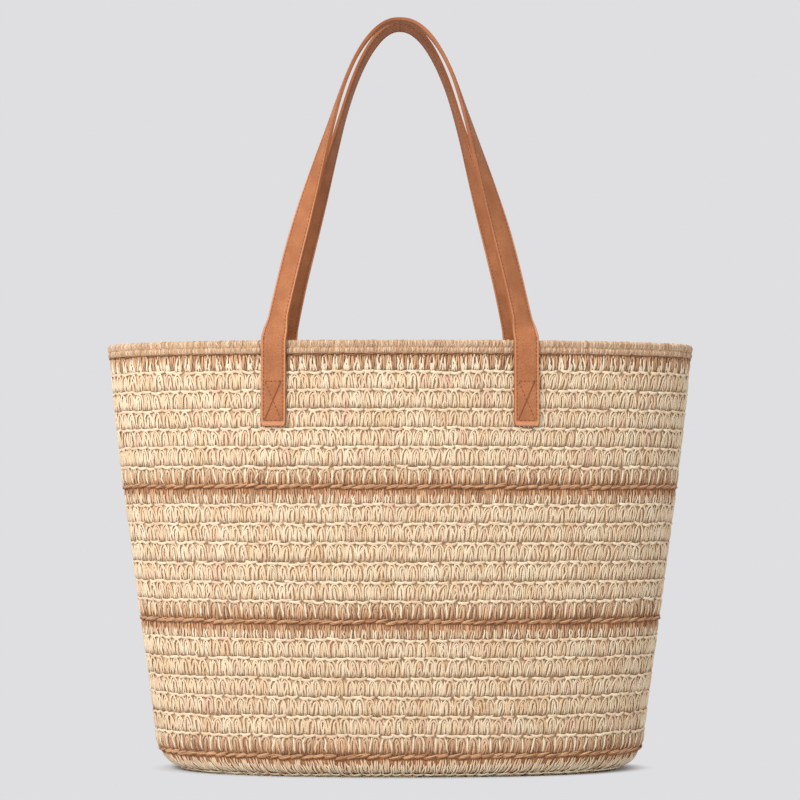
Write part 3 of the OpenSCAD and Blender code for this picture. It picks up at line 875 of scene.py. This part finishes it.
def strapLine():
    flatZ = np.linspace(sewnLow, bagHeight, 400)
    gap = strap["wallGap"] * np.clip((flatZ - foldZ + 12 * mm) / (12 * mm), 0, 1)
    over = rim["proud"] * np.clip((flatZ - overBinding[0]) / (overBinding[1] - overBinding[0]), 0, 1)
    x = strap["halfSpread"]
    flatY = -wallY(x, flatZ, -(gap + over + strap["thickness"] / 2))
    rise = np.sin(np.linspace(0, math.pi / 2, 2000))[1:]
    archX = x * (1 - rise) ** (1 / strap["archPower"])
    archX -= strap["legSag"] * np.sin(math.pi * rise ** strap["sagPower"]) ** 2
    archZ = bagHeight + (archTop - bagHeight) * rise
    topY = -(strap["topGap"] + strap["width"]) / 2
    way = topY - flatY[-1] - strap["leanIn"]
    fromTop, fromRim = strap["leanPowers"]
    archY = topY - way * (1 - rise ** fromTop) - strap["leanIn"] * (1 - rise) ** fromRim
    half = np.stack([np.r_[x + 0 * flatZ, archX], np.r_[flatY, archY], np.r_[flatZ, archZ]], -1)
    rimTurn = math.atan2(wallY(x - mm, bagHeight, 0) - wallY(x + mm, bagHeight, 0), 2 * mm)
    share = (half[:, 2] - bagHeight) / (archTop - bagHeight)
    turn = rimTurn + (strap["legTurn"] - rimTurn) * eased(share / strap["legTurnEnd"])
    turn += ((strap["topTurn"] - strap["legTurn"])
             * eased((share - strap["topTurnFrom"]) / strap["topTurnOver"]))
    travel = np.gradient(half, axis=0)
    travel[-1] = (-1, 0, 0)
    travel /= np.linalg.norm(travel, axis=1)[:, None]
    level = np.array((0, 1, 0)) - travel * travel[:, 1:2]
    level /= np.linalg.norm(level, axis=1)[:, None]
    out = np.sin(turn)[:, None] * np.cross(level, travel) - np.cos(turn)[:, None] * level
    across = np.cross(out, travel)
    # the other half is its mirror image
    whole = [np.vstack([part, part[-2::-1] * (-1, 1, 1)]) for part in (half, across, out)]
    run = np.r_[0, np.cumsum(np.linalg.norm(np.diff(whole[0], axis=0), axis=1))]
    return run, *whole


strapRun, strapPlace, strapAcross, strapOut = strapLine()
strapLength = strapRun[-1]
rimRun = rimLine - sewnLow


# Soft creases where the strap bends over the binding, and a slight unevenness all along
def strapWrinkle(run, edge):
    fromEnd = np.minimum(run, strapLength - run)
    side = np.where(run < strapLength / 2, 1.0, 1.7)
    crease = np.zeros_like(run)
    for place, deep, width, slant in strap["creases"]:
        away = (fromEnd - rimRun - place - slant * side * edge) / width
        crease += deep * np.exp(-away ** 2)
    slow = np.sin(run * 61 + 1.3) * np.sin(run * 23 + side) + 0.5 * np.sin(run * 143 + 9 * side)
    return strap["wrinkle"] * (crease * 0.8 + 0.35 * slow)


# How far the strap's face stands from its middle layer at a place across it
def faceHeight(edge):
    away = np.abs(edge)
    seam = strap["width"] / 2 - strap["seamInset"]
    crown = strap["crown"] * (1 - (away / seam) ** 2).clip(0, 1)
    groove = strap["groove"] * np.exp(-((away - seam) / strap["grooveWidth"]) ** 2)
    return strap["thickness"] / 2 - 0.1 * mm + crown - groove


# Where a place on the strap lies, given along it, across it and out of it
def strapPoint(run, edge, height, side):
    place, across, out = (np.stack([np.interp(run, strapRun, table[:, i]) for i in range(3)], -1)
                          for table in (strapPlace, strapAcross, strapOut))
    lifted = height + strapWrinkle(run, edge)
    points = place + across * edge[:, None] + out * lifted[:, None]
    return points * (1, -1, 1) if side == "back" else points


def strapSection():
    half = strap["width"] / 2
    corner = strap["edgeRound"]
    flat = np.array([0.0, 2.6, 5.0, 6.4, 7.2, 7.8, 8.4, 9.0]) * mm
    turn = np.linspace(0, math.pi / 2, 4)
    edge = np.r_[flat, half - corner + corner * np.sin(turn)]
    height = faceHeight(edge)
    height[len(flat):] = faceHeight(np.array([half - corner]))[0] - corner * (1 - np.cos(turn))
    edge = np.r_[edge, half - 0.22 * mm]
    height = np.r_[height, 0.0]
    # mirrored to the other edge, then to the back
    edge, height = np.r_[-edge[:0:-1], edge], np.r_[height[:0:-1], height]
    return np.r_[edge, edge[-2:0:-1]], np.r_[height, -height[-2:0:-1]]


# The box sewn through each end, measured from the end
box = {"low": 4.5 * mm, "high": 35.5 * mm, "halfWidth": 6.6 * mm}


def strapMesh(name, side):
    edge, height = strapSection()
    corner = strap["cornerRadius"]
    ends = np.array([0, 0.12, 0.4, 0.9, 1.6, 2.3, 3.0, 4.4]) * mm
    # close together in the sewn boxes, for their creases
    boxed = np.r_[ends, np.linspace(ends[-1], 38 * mm, 34)[1:]]
    middle = np.linspace(ends[-1], strapLength - ends[-1], 260)
    middle = middle[(middle > 39 * mm) & (middle < strapLength - 39 * mm)]
    stations = np.r_[boxed, middle, strapLength - boxed[::-1]]

    def ringAt(k):
        run = stations[k]
        fromEnd = min(run, strapLength - run)
        drop = max(0, corner - fromEnd)
        narrow = 1 - (corner - math.sqrt(max(corner ** 2 - drop ** 2, 0))) / (strap["width"] / 2)
        drop = max(0, strap["edgeRound"] - fromEnd)
        thin = 1 - 0.5 * (drop / strap["edgeRound"]) ** 2
        points = strapPoint(np.full(len(edge), run), edge * narrow, height * thin, side)
        return [Vector(p) for p in points]

    bm = bmesh.new()
    sweep(bm, ringAt, len(stations))
    mesh = meshFrom(bm, name)
    slot = readValues(mesh, "slot", np.int32)
    run, across = stations[readValues(mesh, "station", np.int32)], edge[slot]
    writeVectors(mesh, "grain", np.stack([run, across, height[slot]], -1))
    fromEnd = np.minimum(run, strapLength - run)
    beyond = np.maximum(np.abs(across) / mm - 8.2, 3.4 - fromEnd / mm)
    cut = np.clip((np.abs(across) / mm - 9.5) / 0.4, 0, 1)
    writeValues(mesh, "edge", np.where(cut > 0, cut, -np.clip(beyond / 0.5, 0, 1)))
    # one diagonal of the sewn box is pulled in deeper than the other, and its line gets painted shade in the
    # leather's colour as well as a dent
    hand = np.where(run < strapLength / 2, 1, -1)
    fall = np.array([box["high"] - box["low"], 2 * box["halfWidth"]])
    away = (fromEnd - box["low"]) * fall[1] + (across * hand - box["halfWidth"]) * fall[0]
    outside = np.maximum(box["low"] - fromEnd, fromEnd - box["high"])
    away /= np.hypot(*fall) * mm
    writeValues(mesh, "crease", np.where((height[slot] > 0) & (outside < 0.6 * mm), away, 99))
    return mesh


# A piece of the handle, which bends with it from the sewn ends to above the fold
def addBending(name, mesh, material, slot, side, *nodes):
    piece = addPiece(name, mesh, material, slot, *nodes, body=None)
    y = strap["bendDepth"] * {"front": -1, "back": 1}[side]
    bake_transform(piece, "bag", side + "_handle", start=(0, y, foldZ + strap["bendFrom"]),
             end=(0, y, foldZ + strap["bendTo"]))


# Sewing thread: short capsules that dip into the leather at both ends
thread = {"pitch": 3.3 * mm, "length": 2.3 * mm, "width": 0.62 * mm, "sink": 0.08 * mm,
          "dip": 0.3 * mm, "rise": 0.1 * mm, "sides": 6}


def threadMesh(name):
    bm = bmesh.new()
    half = thread["length"] / 2
    line = np.array([(-half, 0, -thread["dip"]), (-half * 0.75, 0, 0), (0, 0, thread["rise"]),
                     (half * 0.75, 0, 0), (half, 0, -thread["dip"])])
    radii = np.array([0.5, 0.95, 1.0, 0.95, 0.5]) * thread["width"] / 2
    turns = anglesRound(thread["sides"])

    def ringAt(k):
        return [Vector(line[k] + radii[k] * np.array((0, math.cos(a), math.sin(a)))) for a in turns]

    sweep(bm, ringAt, len(line))
    return meshFrom(bm, name)


stitchOne = threadMesh("one_stitch")


# Stitches along lines, each from (u0, v0) to (u1, v1). place(u, v, height) puts them on a surface
# and is also given what follows a line's four numbers
def seamMesh(lines, place, lift=0.0):
    spots = []
    for u0, v0, u1, v1, *more in lines:
        count = max(1, int(round(math.hypot(u1 - u0, v1 - v0) / thread["pitch"])))
        for share in (np.arange(count) + 0.5) / count:
            spots.append((u0 + (u1 - u0) * share, v0 + (v1 - v0) * share,
                          math.atan2(v1 - v0, u1 - u0), *more))
    mesh = repeated(stitchOne, len(spots), 0)
    local = readPoints(mesh)
    spots = np.array(spots)[np.arange(len(local)) // len(stitchOne.vertices)]
    cos, sin = np.cos(spots[:, 2]), np.sin(spots[:, 2])
    u = spots[:, 0] + local[:, 0] * cos - local[:, 1] * sin
    v = spots[:, 1] + local[:, 0] * sin + local[:, 1] * cos
    writePoints(mesh, place(u, v, lift + local[:, 2], *spots[:, 3:].T))
    return finishSheet(mesh, np.stack([u, v, 0 * u], -1))


def addSeam(name, node, lines, place, lift=0.0, body="bag"):
    addPiece(name, seamMesh(lines, place, lift), stitchThread, "thread", node, body=body)


seamEdge = strap["width"] / 2 - strap["seamInset"]
boxLow, boxHigh, inner = box["low"], box["high"], box["halfWidth"]
backFrom = foldZ - sewnLow + 30 * mm
middle = strapLength / 2
for side in ("front", "back"):
    # outer is 1 on the strap's outer face and -1 on its inner one
    def onStrap(run, edge, height, outer):
        return strapPoint(run, edge, outer * (faceHeight(edge) + thread["sink"] + height), side)

    ends = [f"{side}_{hand}_end_{layer}" for hand in ("left", "right")
            for layer in ("face", "backing")]
    addBending(side + "_handle_strap", strapMesh(side + "_handle_strap", side), strapLeather,
               "strap_leather", side, side + "_strap_face", side + "_strap_backing", *ends)
    lines = []
    for e in (-seamEdge, seamEdge):
        lines.append((boxLow, e, strapLength - boxLow, e, 1))
        lines.append((backFrom, e, strapLength - backFrom, e, -1))
    for low, high in ((boxLow, boxHigh), (strapLength - boxLow, strapLength - boxHigh)):
        lines += [(run, -inner, run, inner, 1) for run in (low, high)]
        # the deep diagonal hides its thread, so only the other one shows
        hand = 1 if low == boxLow else -1
        lines.append((low, -inner * hand, high, inner * hand, 1))
    addBending(side + "_handle_stitching", seamMesh(lines, onStrap), stitchThread, "thread", side,
               side + "_strap_stitching", "end_stitching")
    lines = [(middle, -inner, middle, inner, outer) for outer in (1, -1)]
    addSeam(side + "_handle_top_seam", side + "_strap_seam", lines, onStrap, body=side + "_handle")
print("handles made")

# ---- The inside: lining, facing, patches, two pockets and the zip

lining = {
    "points": 240,
    "rows": 40,
    "folds": 0.9 * mm,
    "weave": 0.7 * mm,
    "facingRound": 0.35 * mm,
    "seamInset": 2.6 * mm,
    "facingThickness": 1.2 * mm,
    "patchCorner": 4 * mm,
    "patchHalf": 16 * mm,
    "patchThickness": 1.2 * mm,
    "sewnGap": 0.1 * mm,
}
liningIn = bag["liningDepth"] + bag["liningThickness"]


def clothFinish(name, body, deep):
    finish = Finish(name, roughness=0.85, specular=0.2)
    place = finish.attribute("grain", "Vector")
    # a wave texture turns once in 0.314 of its scale
    bands = {"Vector": place, "Scale": 0.314 / lining["weave"], "Distortion": 0.5, "Detail": 1.0}
    warp = finish.node("ShaderNodeTexWave", {"bands_direction": "X"}, bands)
    weft = finish.node("ShaderNodeTexWave", {"bands_direction": "Y"}, bands)
    slubs = finish.noise(finish.stretch(place, (1.0, 0.08, 1.0)), 700.0, 2.0)
    clouds = finish.noise(place, 20.0, 2.0)
    weave = warp * 0.5 + weft * 0.5
    shade = finish.ranged(weave * 0.6 + slubs * 0.5 + clouds * 0.3, 0.3, 1.0)
    finish.set("Base Color", finish.blend(shade, deep, body))
    finish.set("Roughness", finish.ranged(slubs, 0.2, 0.8, 0.78, 0.95))
    finish.bump(weave + slubs * 0.4, 0.00012, 0.6)
    return finish.material


def brassFinish():
    finish = Finish("brass", roughness=0.3, metallic=1.0)
    place = finish.objectPlace()
    wear = finish.noise(place, 260.0, 4.0, 0.6)
    brushed = finish.noise(finish.stretch(place, (0.1, 1.0, 1.0)), 2600.0, 2.0)
    tarnish = finish.ranged(wear, 0.42, 0.66)
    finish.set("Base Color", finish.blend(tarnish, colour(222, 192, 138), colour(176, 136, 84)))
    finish.set("Roughness", finish.ranged(wear + brushed * 0.3, 0.4, 0.9, 0.2, 0.42))
    finish.bump(brushed, 0.00003, 0.4)
    return finish.material


def boardFinish():
    finish = Finish("board", roughness=0.9, specular=0.15)
    place = finish.objectPlace()
    flecks = finish.cells(place, 500.0)
    pulp = finish.noise(place, 320.0, 4.0, 0.6)
    shade = finish.ranged(pulp + flecks * 0.3, 0.35, 0.9)
    finish.set("Base Color", finish.blend(shade, colour(126, 112, 94), colour(158, 144, 122)))
    finish.bump(pulp, 0.0002, 0.6)
    return finish.material


liningCloth = clothFinish("liningCloth", colour(214, 199, 176), colour(186, 170, 146))
tapeCloth = clothFinish("tapeCloth", colour(196, 172, 142), colour(160, 136, 106))
facingLeather = leatherFinish("facingLeather", colour(178, 116, 74), colour(150, 94, 58),
                              colour(196, 134, 92), 0.8)
brass = brassFinish()


# Slight upright folds in the lining, flat where a pocket or the facing is sewn to it
def liningFold(angle, z):
    x = wallPoint(angle, z, liningIn)[:, 0]
    beside = np.clip((np.abs(x) - 92 * mm) / (20 * mm), 0, 1)
    under = np.clip((100 * mm - z) / (20 * mm), 0, 1)
    free = np.maximum(beside, under) * np.clip((facingLow - z) / (30 * mm), 0, 1)
    free *= np.clip((z - 26 * mm) / (30 * mm), 0, 1)
    waves = np.sin(angle * 11 + 9 * z) * np.sin(angle * 5 + 1) + 0.6 * np.sin(angle * 23 - 14 * z + 2)
    return lining["folds"] * free * waves


facingLow, facingTop = (corner.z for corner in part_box("mouth_facing"))
angles = anglesRound(lining["points"])
foot = bag["liningDepth"] + bag["liningThickness"] / 2
levels = np.r_[foot + np.array([0, 1, 3, 6, 10, 15, 22]) * mm,
               np.linspace(34 * mm, facingLow, lining["rows"])]
rings = [wallPoint(angles, z, bag["liningDepth"] + liningFold(angles, z)) for z in levels]
rings += [wallPoint(angles, z, liningIn + liningFold(angles, z))
          for z in np.maximum(levels[::-1], liningIn)]
mesh = loftMesh("lining_cloth", rings, band=True)
roundBag = lengthRound(lambda a: wallPoint(a, 0.15, liningIn))
x, y, z = readPoints(mesh).T
finishSheet(mesh, np.stack([np.arctan2(y, x) / (2 * math.pi) * roundBag, z, 0 * x], -1))
piece = addPiece("lining_cloth", mesh, liningCloth, "lining_cloth", "lining_wall")

# The floor of the lining
floorReach = reachX(liningIn, liningIn), reachY(liningIn, liningIn)


def floorRing(inset, z):
    return ovalPoint(angles, floorReach[0] - inset, floorReach[1] - inset, z)


insets = np.array([0.0, 1, 3, 8, 16, 26, 38, 48]) * mm
rings = [floorRing(inset, bag["liningDepth"]) for inset in insets[::-1]]
mesh = loftMesh("lining_floor", rings + [floorRing(inset, liningIn) for inset in insets])
finishSheet(mesh, readPoints(mesh))
piece = addPiece("lining_floor", mesh, liningCloth, "lining_cloth", "lining_base")
x, y = floorRing(0.0, 0.0)[:, :2].T
2 * floorReach[0]
2 * floorReach[1]


# Leather's cut edge on a piece that has no creases
def cutEdge(mesh, where, share):
    writeValues(mesh, "edge", np.where(where, share, 0.0))
    writeValues(mesh, "crease", np.full(len(mesh.vertices), 99.0))


# The facing, with rounded edges
facingOut = liningIn - lining["facingThickness"]
edgeRound = lining["facingRound"]
profile = [(facingOut, facingLow), (liningIn - edgeRound, facingLow),
           (liningIn, facingLow + edgeRound),
           *[(liningIn, z) for z in np.linspace(facingLow + 2 * mm, facingTop - 2 * mm, 8)],
           (liningIn, facingTop - edgeRound), (liningIn - edgeRound, facingTop),
           (facingOut, facingTop)]
mesh = loftMesh("facing_leather", [wallPoint(angles, z, depth) for depth, z in profile], band=True)
x, y, z = readPoints(mesh).T
finishSheet(mesh, np.stack([x, z, y], -1))
cutEdge(mesh, np.minimum(z - facingLow, facingTop - z) < 0.2 * mm, 1.0)
addPiece("facing_leather", mesh, facingLeather, "facing_leather", "mouth_facing")


# A thin plate with rounded corners. place(u, v, height) puts its points on a surface
def plateMesh(name, halfU, halfV, corner, thickness, place, edge=0.3 * mm):
    evenly = np.linspace(-1, 1, 15)
    turns = []
    for sideU, sideV in ((1, 1), (-1, 1), (-1, -1), (1, -1)):
        turns.append(np.arctan2(sideV * halfV, (halfU - corner) * evenly))
        turns.append(np.arctan2((halfV - corner) * evenly, sideU * halfU))
        near = np.linspace(0, 1, 7)
        turns.append(np.arctan2(sideV * (halfV - corner * near), sideU * halfU))
        turns.append(np.arctan2(sideV * halfV, sideU * (halfU - corner * near)))
    turn = np.unique(np.round(np.concatenate(turns) % (2 * math.pi), 5))

    def outline(share, inset, height):
        u, v = halfU * share - inset, halfV * share - inset
        reach = np.maximum(np.abs(np.cos(turn)) / u, np.abs(np.sin(turn)) / v)
        flat = np.stack([np.cos(turn), np.sin(turn)], -1) / reach[:, None]
        radius = max(corner * share - inset, 0.05 * mm)
        core = np.clip(flat, (-u + radius, -v + radius), (u - radius, v - radius))
        away = flat - core
        away *= radius / np.maximum(np.linalg.norm(away, axis=1), 1e-9)[:, None]
        return np.column_stack([core + away, np.full(len(turn), height)])

    shares = (0.02, 0.2, 0.4, 0.6, 0.8)
    local = [outline(s, 0, 0) for s in shares] + [outline(1, edge, 0), outline(1, 0, edge * 0.4)]
    local += [outline(1, 0, thickness - edge), outline(1, edge * 0.3, thickness - edge * 0.3),
              outline(1, edge, thickness)]
    local += [outline(s, 0, thickness) for s in shares[::-1]]
    mesh = loftMesh(name, [place(*ring.T) for ring in local])
    grain = np.vstack(local)
    finishSheet(mesh, grain)
    border = np.minimum(halfU - np.abs(grain[:, 0]), halfV - np.abs(grain[:, 1]))
    cutEdge(mesh, border < edge * 0.6, 0.8)
    return mesh


def addPatch(name, node, *shape):
    addPiece(name, plateMesh(name, *shape), facingLeather, "facing_leather", node)


def frameLines(halfU, halfV):
    return [(-halfU, -halfV, halfU, -halfV), (halfU, -halfV, halfU, halfV),
            (halfU, halfV, -halfU, halfV), (-halfU, halfV, -halfU, -halfV)]


# What is sewn on the inside of the wall: side is -1 in front and 1 behind
def onWall(x, z, side):
    def place(u, v, height):
        y = wallY(x + u, z + v, liningIn + lining["sewnGap"] + height)
        return np.stack([x + u, side * y, z + v], -1)
    return place


for side, sign in (("front", -1), ("back", 1)):
    for hand in ("left", "right"):
        node = f"{side}_{hand}_patch"
        low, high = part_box(node)
        centre, half = (low + high) / 2, (high - low) / 2
        place = onWall(centre.x, centre.z, sign)
        patch, thick = lining["patchHalf"], lining["patchThickness"]
        addPatch(node + "_leather", node, patch, half.z, lining["patchCorner"], thick, place)
        lines = frameLines(patch - lining["seamInset"], half.z - lining["seamInset"])
        boxed = sewnLow - centre.z + box["low"], sewnLow - centre.z + box["high"]
        mid, tall = sum(boxed) / 2, (boxed[1] - boxed[0]) / 2
        wide = box["halfWidth"]
        lines += [(a, b + mid, c, d + mid) for a, b, c, d in frameLines(wide, tall)]
        lines += [(-wide, boxed[0], wide, boxed[1]), (-wide, boxed[1], wide, boxed[0])]
        addSeam(node + "_stitching", "end_stitching", lines, place, thick)

# Two rows of stitching round the facing
aroundInside = lengthRound(lambda a: wallPoint(a, facingLow, liningIn))


def roundInside(u, v, height):
    angle = evenAngles(lambda a: wallPoint(a, facingLow, liningIn), u / aroundInside)[0]
    return wallPoint(angle, v, liningIn + height)


seamRows = [(0, z, aroundInside, z) for z in (facingLow + lining["seamInset"],
                                              facingTop - 2.2 * lining["seamInset"])]
addSeam("facing_stitching", "mouth_facing", seamRows, roundInside)
print("lining and facing made")

# The slip pocket hangs a little open at its hem
slip = {
    "gape": 4.5 * mm,
    "sag": 0.5 * mm,
    "corner": 3 * mm,
    "thickness": 0.8 * mm,
    "hemCorner": 1 * mm,
    "hemThickness": 0.9 * mm,
    "hemLift": 0.75 * mm,
    "hemSeam": 1.5 * mm,
    "seamInset": 3 * mm,
    "seamBelow": 4 * mm,
}
low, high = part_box("slip_pocket")
slipHalf = (high - low) / 2
slipZ = (low.z + high.z) / 2


def onSlip(u, v, height):
    share = np.clip((v + slipHalf.z) / (2 * slipHalf.z), 0, 1)
    gape = slip["gape"] * share ** 1.4 * (1 - (u / slipHalf.x) ** 2)
    sag = slip["sag"] * np.sin(u * 60 + 1) * share
    depth = liningIn + lining["sewnGap"] + gape + sag * (1 - share) + height
    return np.stack([u, -wallY(u, slipZ + v, depth), slipZ + v], -1)


mesh = plateMesh("slip_pocket_cloth", slipHalf.x, slipHalf.z, slip["corner"], slip["thickness"],
                 onSlip)
slipPiece = addPiece("slip_pocket_cloth", mesh, liningCloth, "lining_cloth", "slip_pocket")
low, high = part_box("slip_pocket_hem")
hemHalf = (high.z - low.z) / 2
hemMid = (low.z + high.z) / 2 - slipZ


def onHem(u, v, height):
    return onSlip(u, v + hemMid, height + slip["hemLift"])


addPatch("slip_pocket_binding", "slip_pocket_hem", slipHalf.x, hemHalf, slip["hemCorner"],
         slip["hemThickness"], onHem)
edgeU, edgeV = slipHalf.x - slip["seamInset"], slipHalf.z - slip["seamInset"]
seamTop = edgeV - slip["seamBelow"]
lines = [(-edgeU, seamTop, -edgeU, -edgeV), (-edgeU, -edgeV, edgeU, -edgeV),
         (edgeU, -edgeV, edgeU, seamTop)]
addSeam("slip_pocket_stitching", "slip_pocket", lines, onSlip, slip["thickness"])
hemSeam = slip["hemSeam"] - hemHalf
addSeam("slip_hem_stitching", "slip_pocket_hem", [(-edgeU, hemSeam, edgeU, hemSeam)], onHem,
        slip["hemThickness"])

# The zipped pocket: its panel is flat, and the zip lies behind a window in it
zipper = {
    "pitch": 2.2 * mm,
    "tooth": 1.25 * mm,
    "toothDeep": 1.7 * mm,
    "toothRound": 0.28 * mm,
    "toothHead": 0.72,
    "window": (69 * mm, 6 * mm),
    "puff": 0.6 * mm,
    "cloth": 0.8 * mm,
    "seamInset": 3 * mm,
    "tape": 0.6 * mm,
    "tapeCorner": 0.5 * mm,
    "tapeEdge": 0.1 * mm,
    "toothBehind": 0.3 * mm,
}
low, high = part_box("zip_pocket_panel")
panelHalfX, panelLow, panelTop = high.x, low.z, high.z
coilLow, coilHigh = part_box("zip_coil_lower")[0].z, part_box("zip_coil_upper")[1].z
zipZ = (coilLow + coilHigh) / 2
panelEnds = [float(wallY(panelHalfX, z, liningIn)) - 1 * mm for z in (panelLow, panelTop)]


def panelY(z):
    return panelEnds[0] + (panelEnds[1] - panelEnds[0]) * (z - panelLow) / (panelTop - panelLow)


def onPanel(u, v, height):
    z = zipZ + v
    return np.stack([u, panelY(z) - height, z], -1)


def boxLoop(halfX, low, top, count=16):
    sides = [(-halfX, top, halfX, top), (halfX, top, halfX, low), (halfX, low, -halfX, low),
             (-halfX, low, -halfX, top)]
    share = np.arange(count) / count
    return np.vstack([np.stack([a + (c - a) * share, b + (d - b) * share], -1)
                      for a, b, c, d in sides])


outer = boxLoop(panelHalfX, panelLow - zipZ, panelTop - zipZ)
window = boxLoop(zipper["window"][0], -zipper["window"][1], zipper["window"][1])
loops = []
for share, height in ([(s, 0.0) for s in (0, 0.3, 0.7, 1)]
                      + [(s, zipper["cloth"]) for s in (1, 0.97, 0.7, 0.5, 0.3, 0.03, 0)]):
    flat = outer + (window - outer) * share
    puff = math.sin(math.pi * share) * np.sin(flat[:, 0] * 45 + flat[:, 1] * 30) ** 2
    loops.append(onPanel(flat[:, 0], flat[:, 1], height + zipper["puff"] * puff))
mesh = loftMesh("zip_pocket_cloth", loops, band=True)
finishSheet(mesh, readPoints(mesh)[:, [0, 2, 1]])
panelPiece = addPiece("zip_pocket_cloth", mesh, liningCloth, "lining_cloth", "zip_pocket_panel")

# Its side turns in from the wall to the panel's border
inset = zipper["seamInset"]
inner = boxLoop(panelHalfX - inset, panelLow - zipZ + inset, panelTop - zipZ - inset)


def gussetLoop(flat, share):
    z = zipZ + flat[:, 1]
    wall = wallY(flat[:, 0], z, liningIn + 0.3 * mm)
    return np.stack([flat[:, 0], wall + (panelY(z) - wall) * share, z], -1)


loops = [gussetLoop(outer, s) for s in (0, 0.5, 1)] + [gussetLoop(inner, s) for s in (1, 0.5, 0)]
mesh = loftMesh("zip_pocket_side", loops, band=True)
finishSheet(mesh, readPoints(mesh))
addPiece("zip_pocket_side", mesh, liningCloth, "lining_cloth", "zip_pocket_gusset")
shift = (panelTop + panelLow) / 2 - zipZ
edges = frameLines(panelHalfX - inset, (panelTop - panelLow) / 2 - inset)
lines = [(a, b + shift, c, d + shift) for a, b, c, d in edges]
lines += frameLines(*[reach + 2 * mm for reach in zipper["window"]])
addSeam("zip_pocket_stitching", "zip_pocket_panel", lines, onPanel, 0.85 * mm)

for name, turn in (("upper", 1), ("lower", -1)):
    low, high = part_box("zip_tape_" + name)
    tapeMid, tapeHalf = (low.z + high.z) / 2 - zipZ, (high.z - low.z) / 2

    def onTape(u, v, height):
        return onPanel(u, v + tapeMid, height - zipper["tape"])

    mesh = plateMesh(f"zip_tape_{name}_cloth", high.x, tapeHalf, zipper["tapeCorner"],
                     zipper["tape"], onTape, zipper["tapeEdge"])
    addPiece(f"zip_tape_{name}_cloth", mesh, tapeCloth, "zip_tape", "zip_tape_" + name)
    low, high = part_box("zip_coil_" + name)
    bm = bmesh.new()
    bmesh.ops.create_cube(bm, size=1.0)
    size = zipper["tooth"], high.z - low.z, zipper["toothDeep"]
    bmesh.ops.scale(bm, vec=size, verts=bm.verts)
    bmesh.ops.bevel(bm, geom=bm.edges[:], offset=zipper["toothRound"], segments=2, profile=0.5,
                    material=-1, affect="EDGES")
    # the head of a tooth is narrower than its root
    for vert in bm.verts:
        if vert.co.y * turn < 0:
            vert.co.x *= zipper["toothHead"]
    tooth = meshFrom(bm, "tooth")
    count = int((high.x - low.x) / zipper["pitch"])
    mesh = repeated(tooth, count, zipper["pitch"])
    points = readPoints(mesh)
    start = -(count - 1) / 2 * zipper["pitch"] + turn * zipper["pitch"] / 4
    middle = (low.z + high.z) / 2 - zipZ
    writePoints(mesh, onPanel(points[:, 0] + start, points[:, 1] + middle,
                              points[:, 2] - zipper["toothBehind"]))
    finishSheet(mesh, points)
    addPiece("zip_teeth_" + name, mesh, brass, "brass", "zip_coil_" + name)

# The metal parts and the board keep their CAD shape
board = boardFinish()
for node in ("zip_stops", "zip_slider", "zip_pull", "snap_socket", "snap_stud", "snap_washers",
             "base_board"):
    held = bpy.data.objects[node].data.materials
    held.clear()
    held.append(board if node == "base_board" else brass)
print("inside made")

# ---- Camera, lights and floor

view = {"distance": 1.6, "height": 0.214, "pitch": 3.095, "lens": 87.385}
cameraData = bpy.data.cameras.new("camera")
camera = bpy.data.objects.new("camera", cameraData)
bpy.context.scene.collection.objects.link(camera)
cameraData.lens = view["lens"]
cameraData.sensor_width = 36
cameraData.clip_end = 30
camera.location = (0, -view["distance"], view["height"])
camera.rotation_euler = (math.radians(90 + view["pitch"]), 0, 0)
bpy.context.scene.camera = camera

studio = {
    "backdrop": (223, 223, 225),
    "floor": (210, 212, 215),
    "shadowReach": (0.18, 0.21),
    "key": 76,
    "fill": 8,
    "top": 20,
    "ambient": 0.52,
}


# The floor is lit near the bag, where its shadow falls, and for the camera it runs out into
# the backdrop's own flat colour
def stageFinish():
    finish = Finish("paleFloor", roughness=1.0, specular=0.0)
    finish.set("Base Color", colour(*studio["floor"]))
    oval = finish.stretch(finish.objectPlace(), (1.0, 2.9, 0.0))
    away = finish.node("ShaderNodeVectorMath", {"operation": "LENGTH"}, {0: oval}, output=1)
    far = finish.ranged(away, *studio["shadowReach"])
    flat = finish.node("ShaderNodeEmission", None, {"Color": colour(*studio["backdrop"])})
    lit = Signal(finish, finish.shader.outputs[0])
    finish.shown("Material Output", far * finish.seen(), lit, flat)
    return finish.material


floorMesh = bpy.data.meshes.new("floor")
bm = bmesh.new()
bmesh.ops.create_grid(bm, x_segments=1, y_segments=1, size=12.0)
bm.to_mesh(floorMesh)
bm.free()
floor = newPiece("floor", floorMesh, stageFinish(), smooth=False)

# Square lamps, each with its place, the height it aims at over the middle, and its size
for name, place, aim, size in (("key", (-1.5, -2.0, 1.9), 0.25, 1.4),
                               ("fill", (1.8, -1.6, 1.0), 0.25, 1.6),
                               ("top", (0, 0.6, 2.6), 0.3, 2.0)):
    data = bpy.data.lights.new(name, "AREA")
    data.shape = "SQUARE"
    data.size = size
    data.energy = studio[name]
    lamp = bpy.data.objects.new(name, data)
    lamp.location = place
    lamp.rotation_euler = (Vector((0, 0, aim)) - Vector(place)).to_track_quat("-Z", "Y").to_euler()
    bpy.context.scene.collection.objects.link(lamp)

# What is seen straight on shows the backdrop's colour, and everything is lit by the ambient white
world = bpy.data.worlds.new("studio")
world.use_nodes = True
room = Nodes(world.node_tree)
white, backdrop = (room.node("ShaderNodeBackground", None, {"Color": tint, "Strength": strength})
                   for tint, strength in (((1, 1, 1, 1), studio["ambient"]),
                                          (colour(*studio["backdrop"]), 1.0)))
room.shown("World Output", room.seen(), white, backdrop)
bpy.context.scene.world = world
bpy.context.scene.view_settings.view_transform = "Standard"
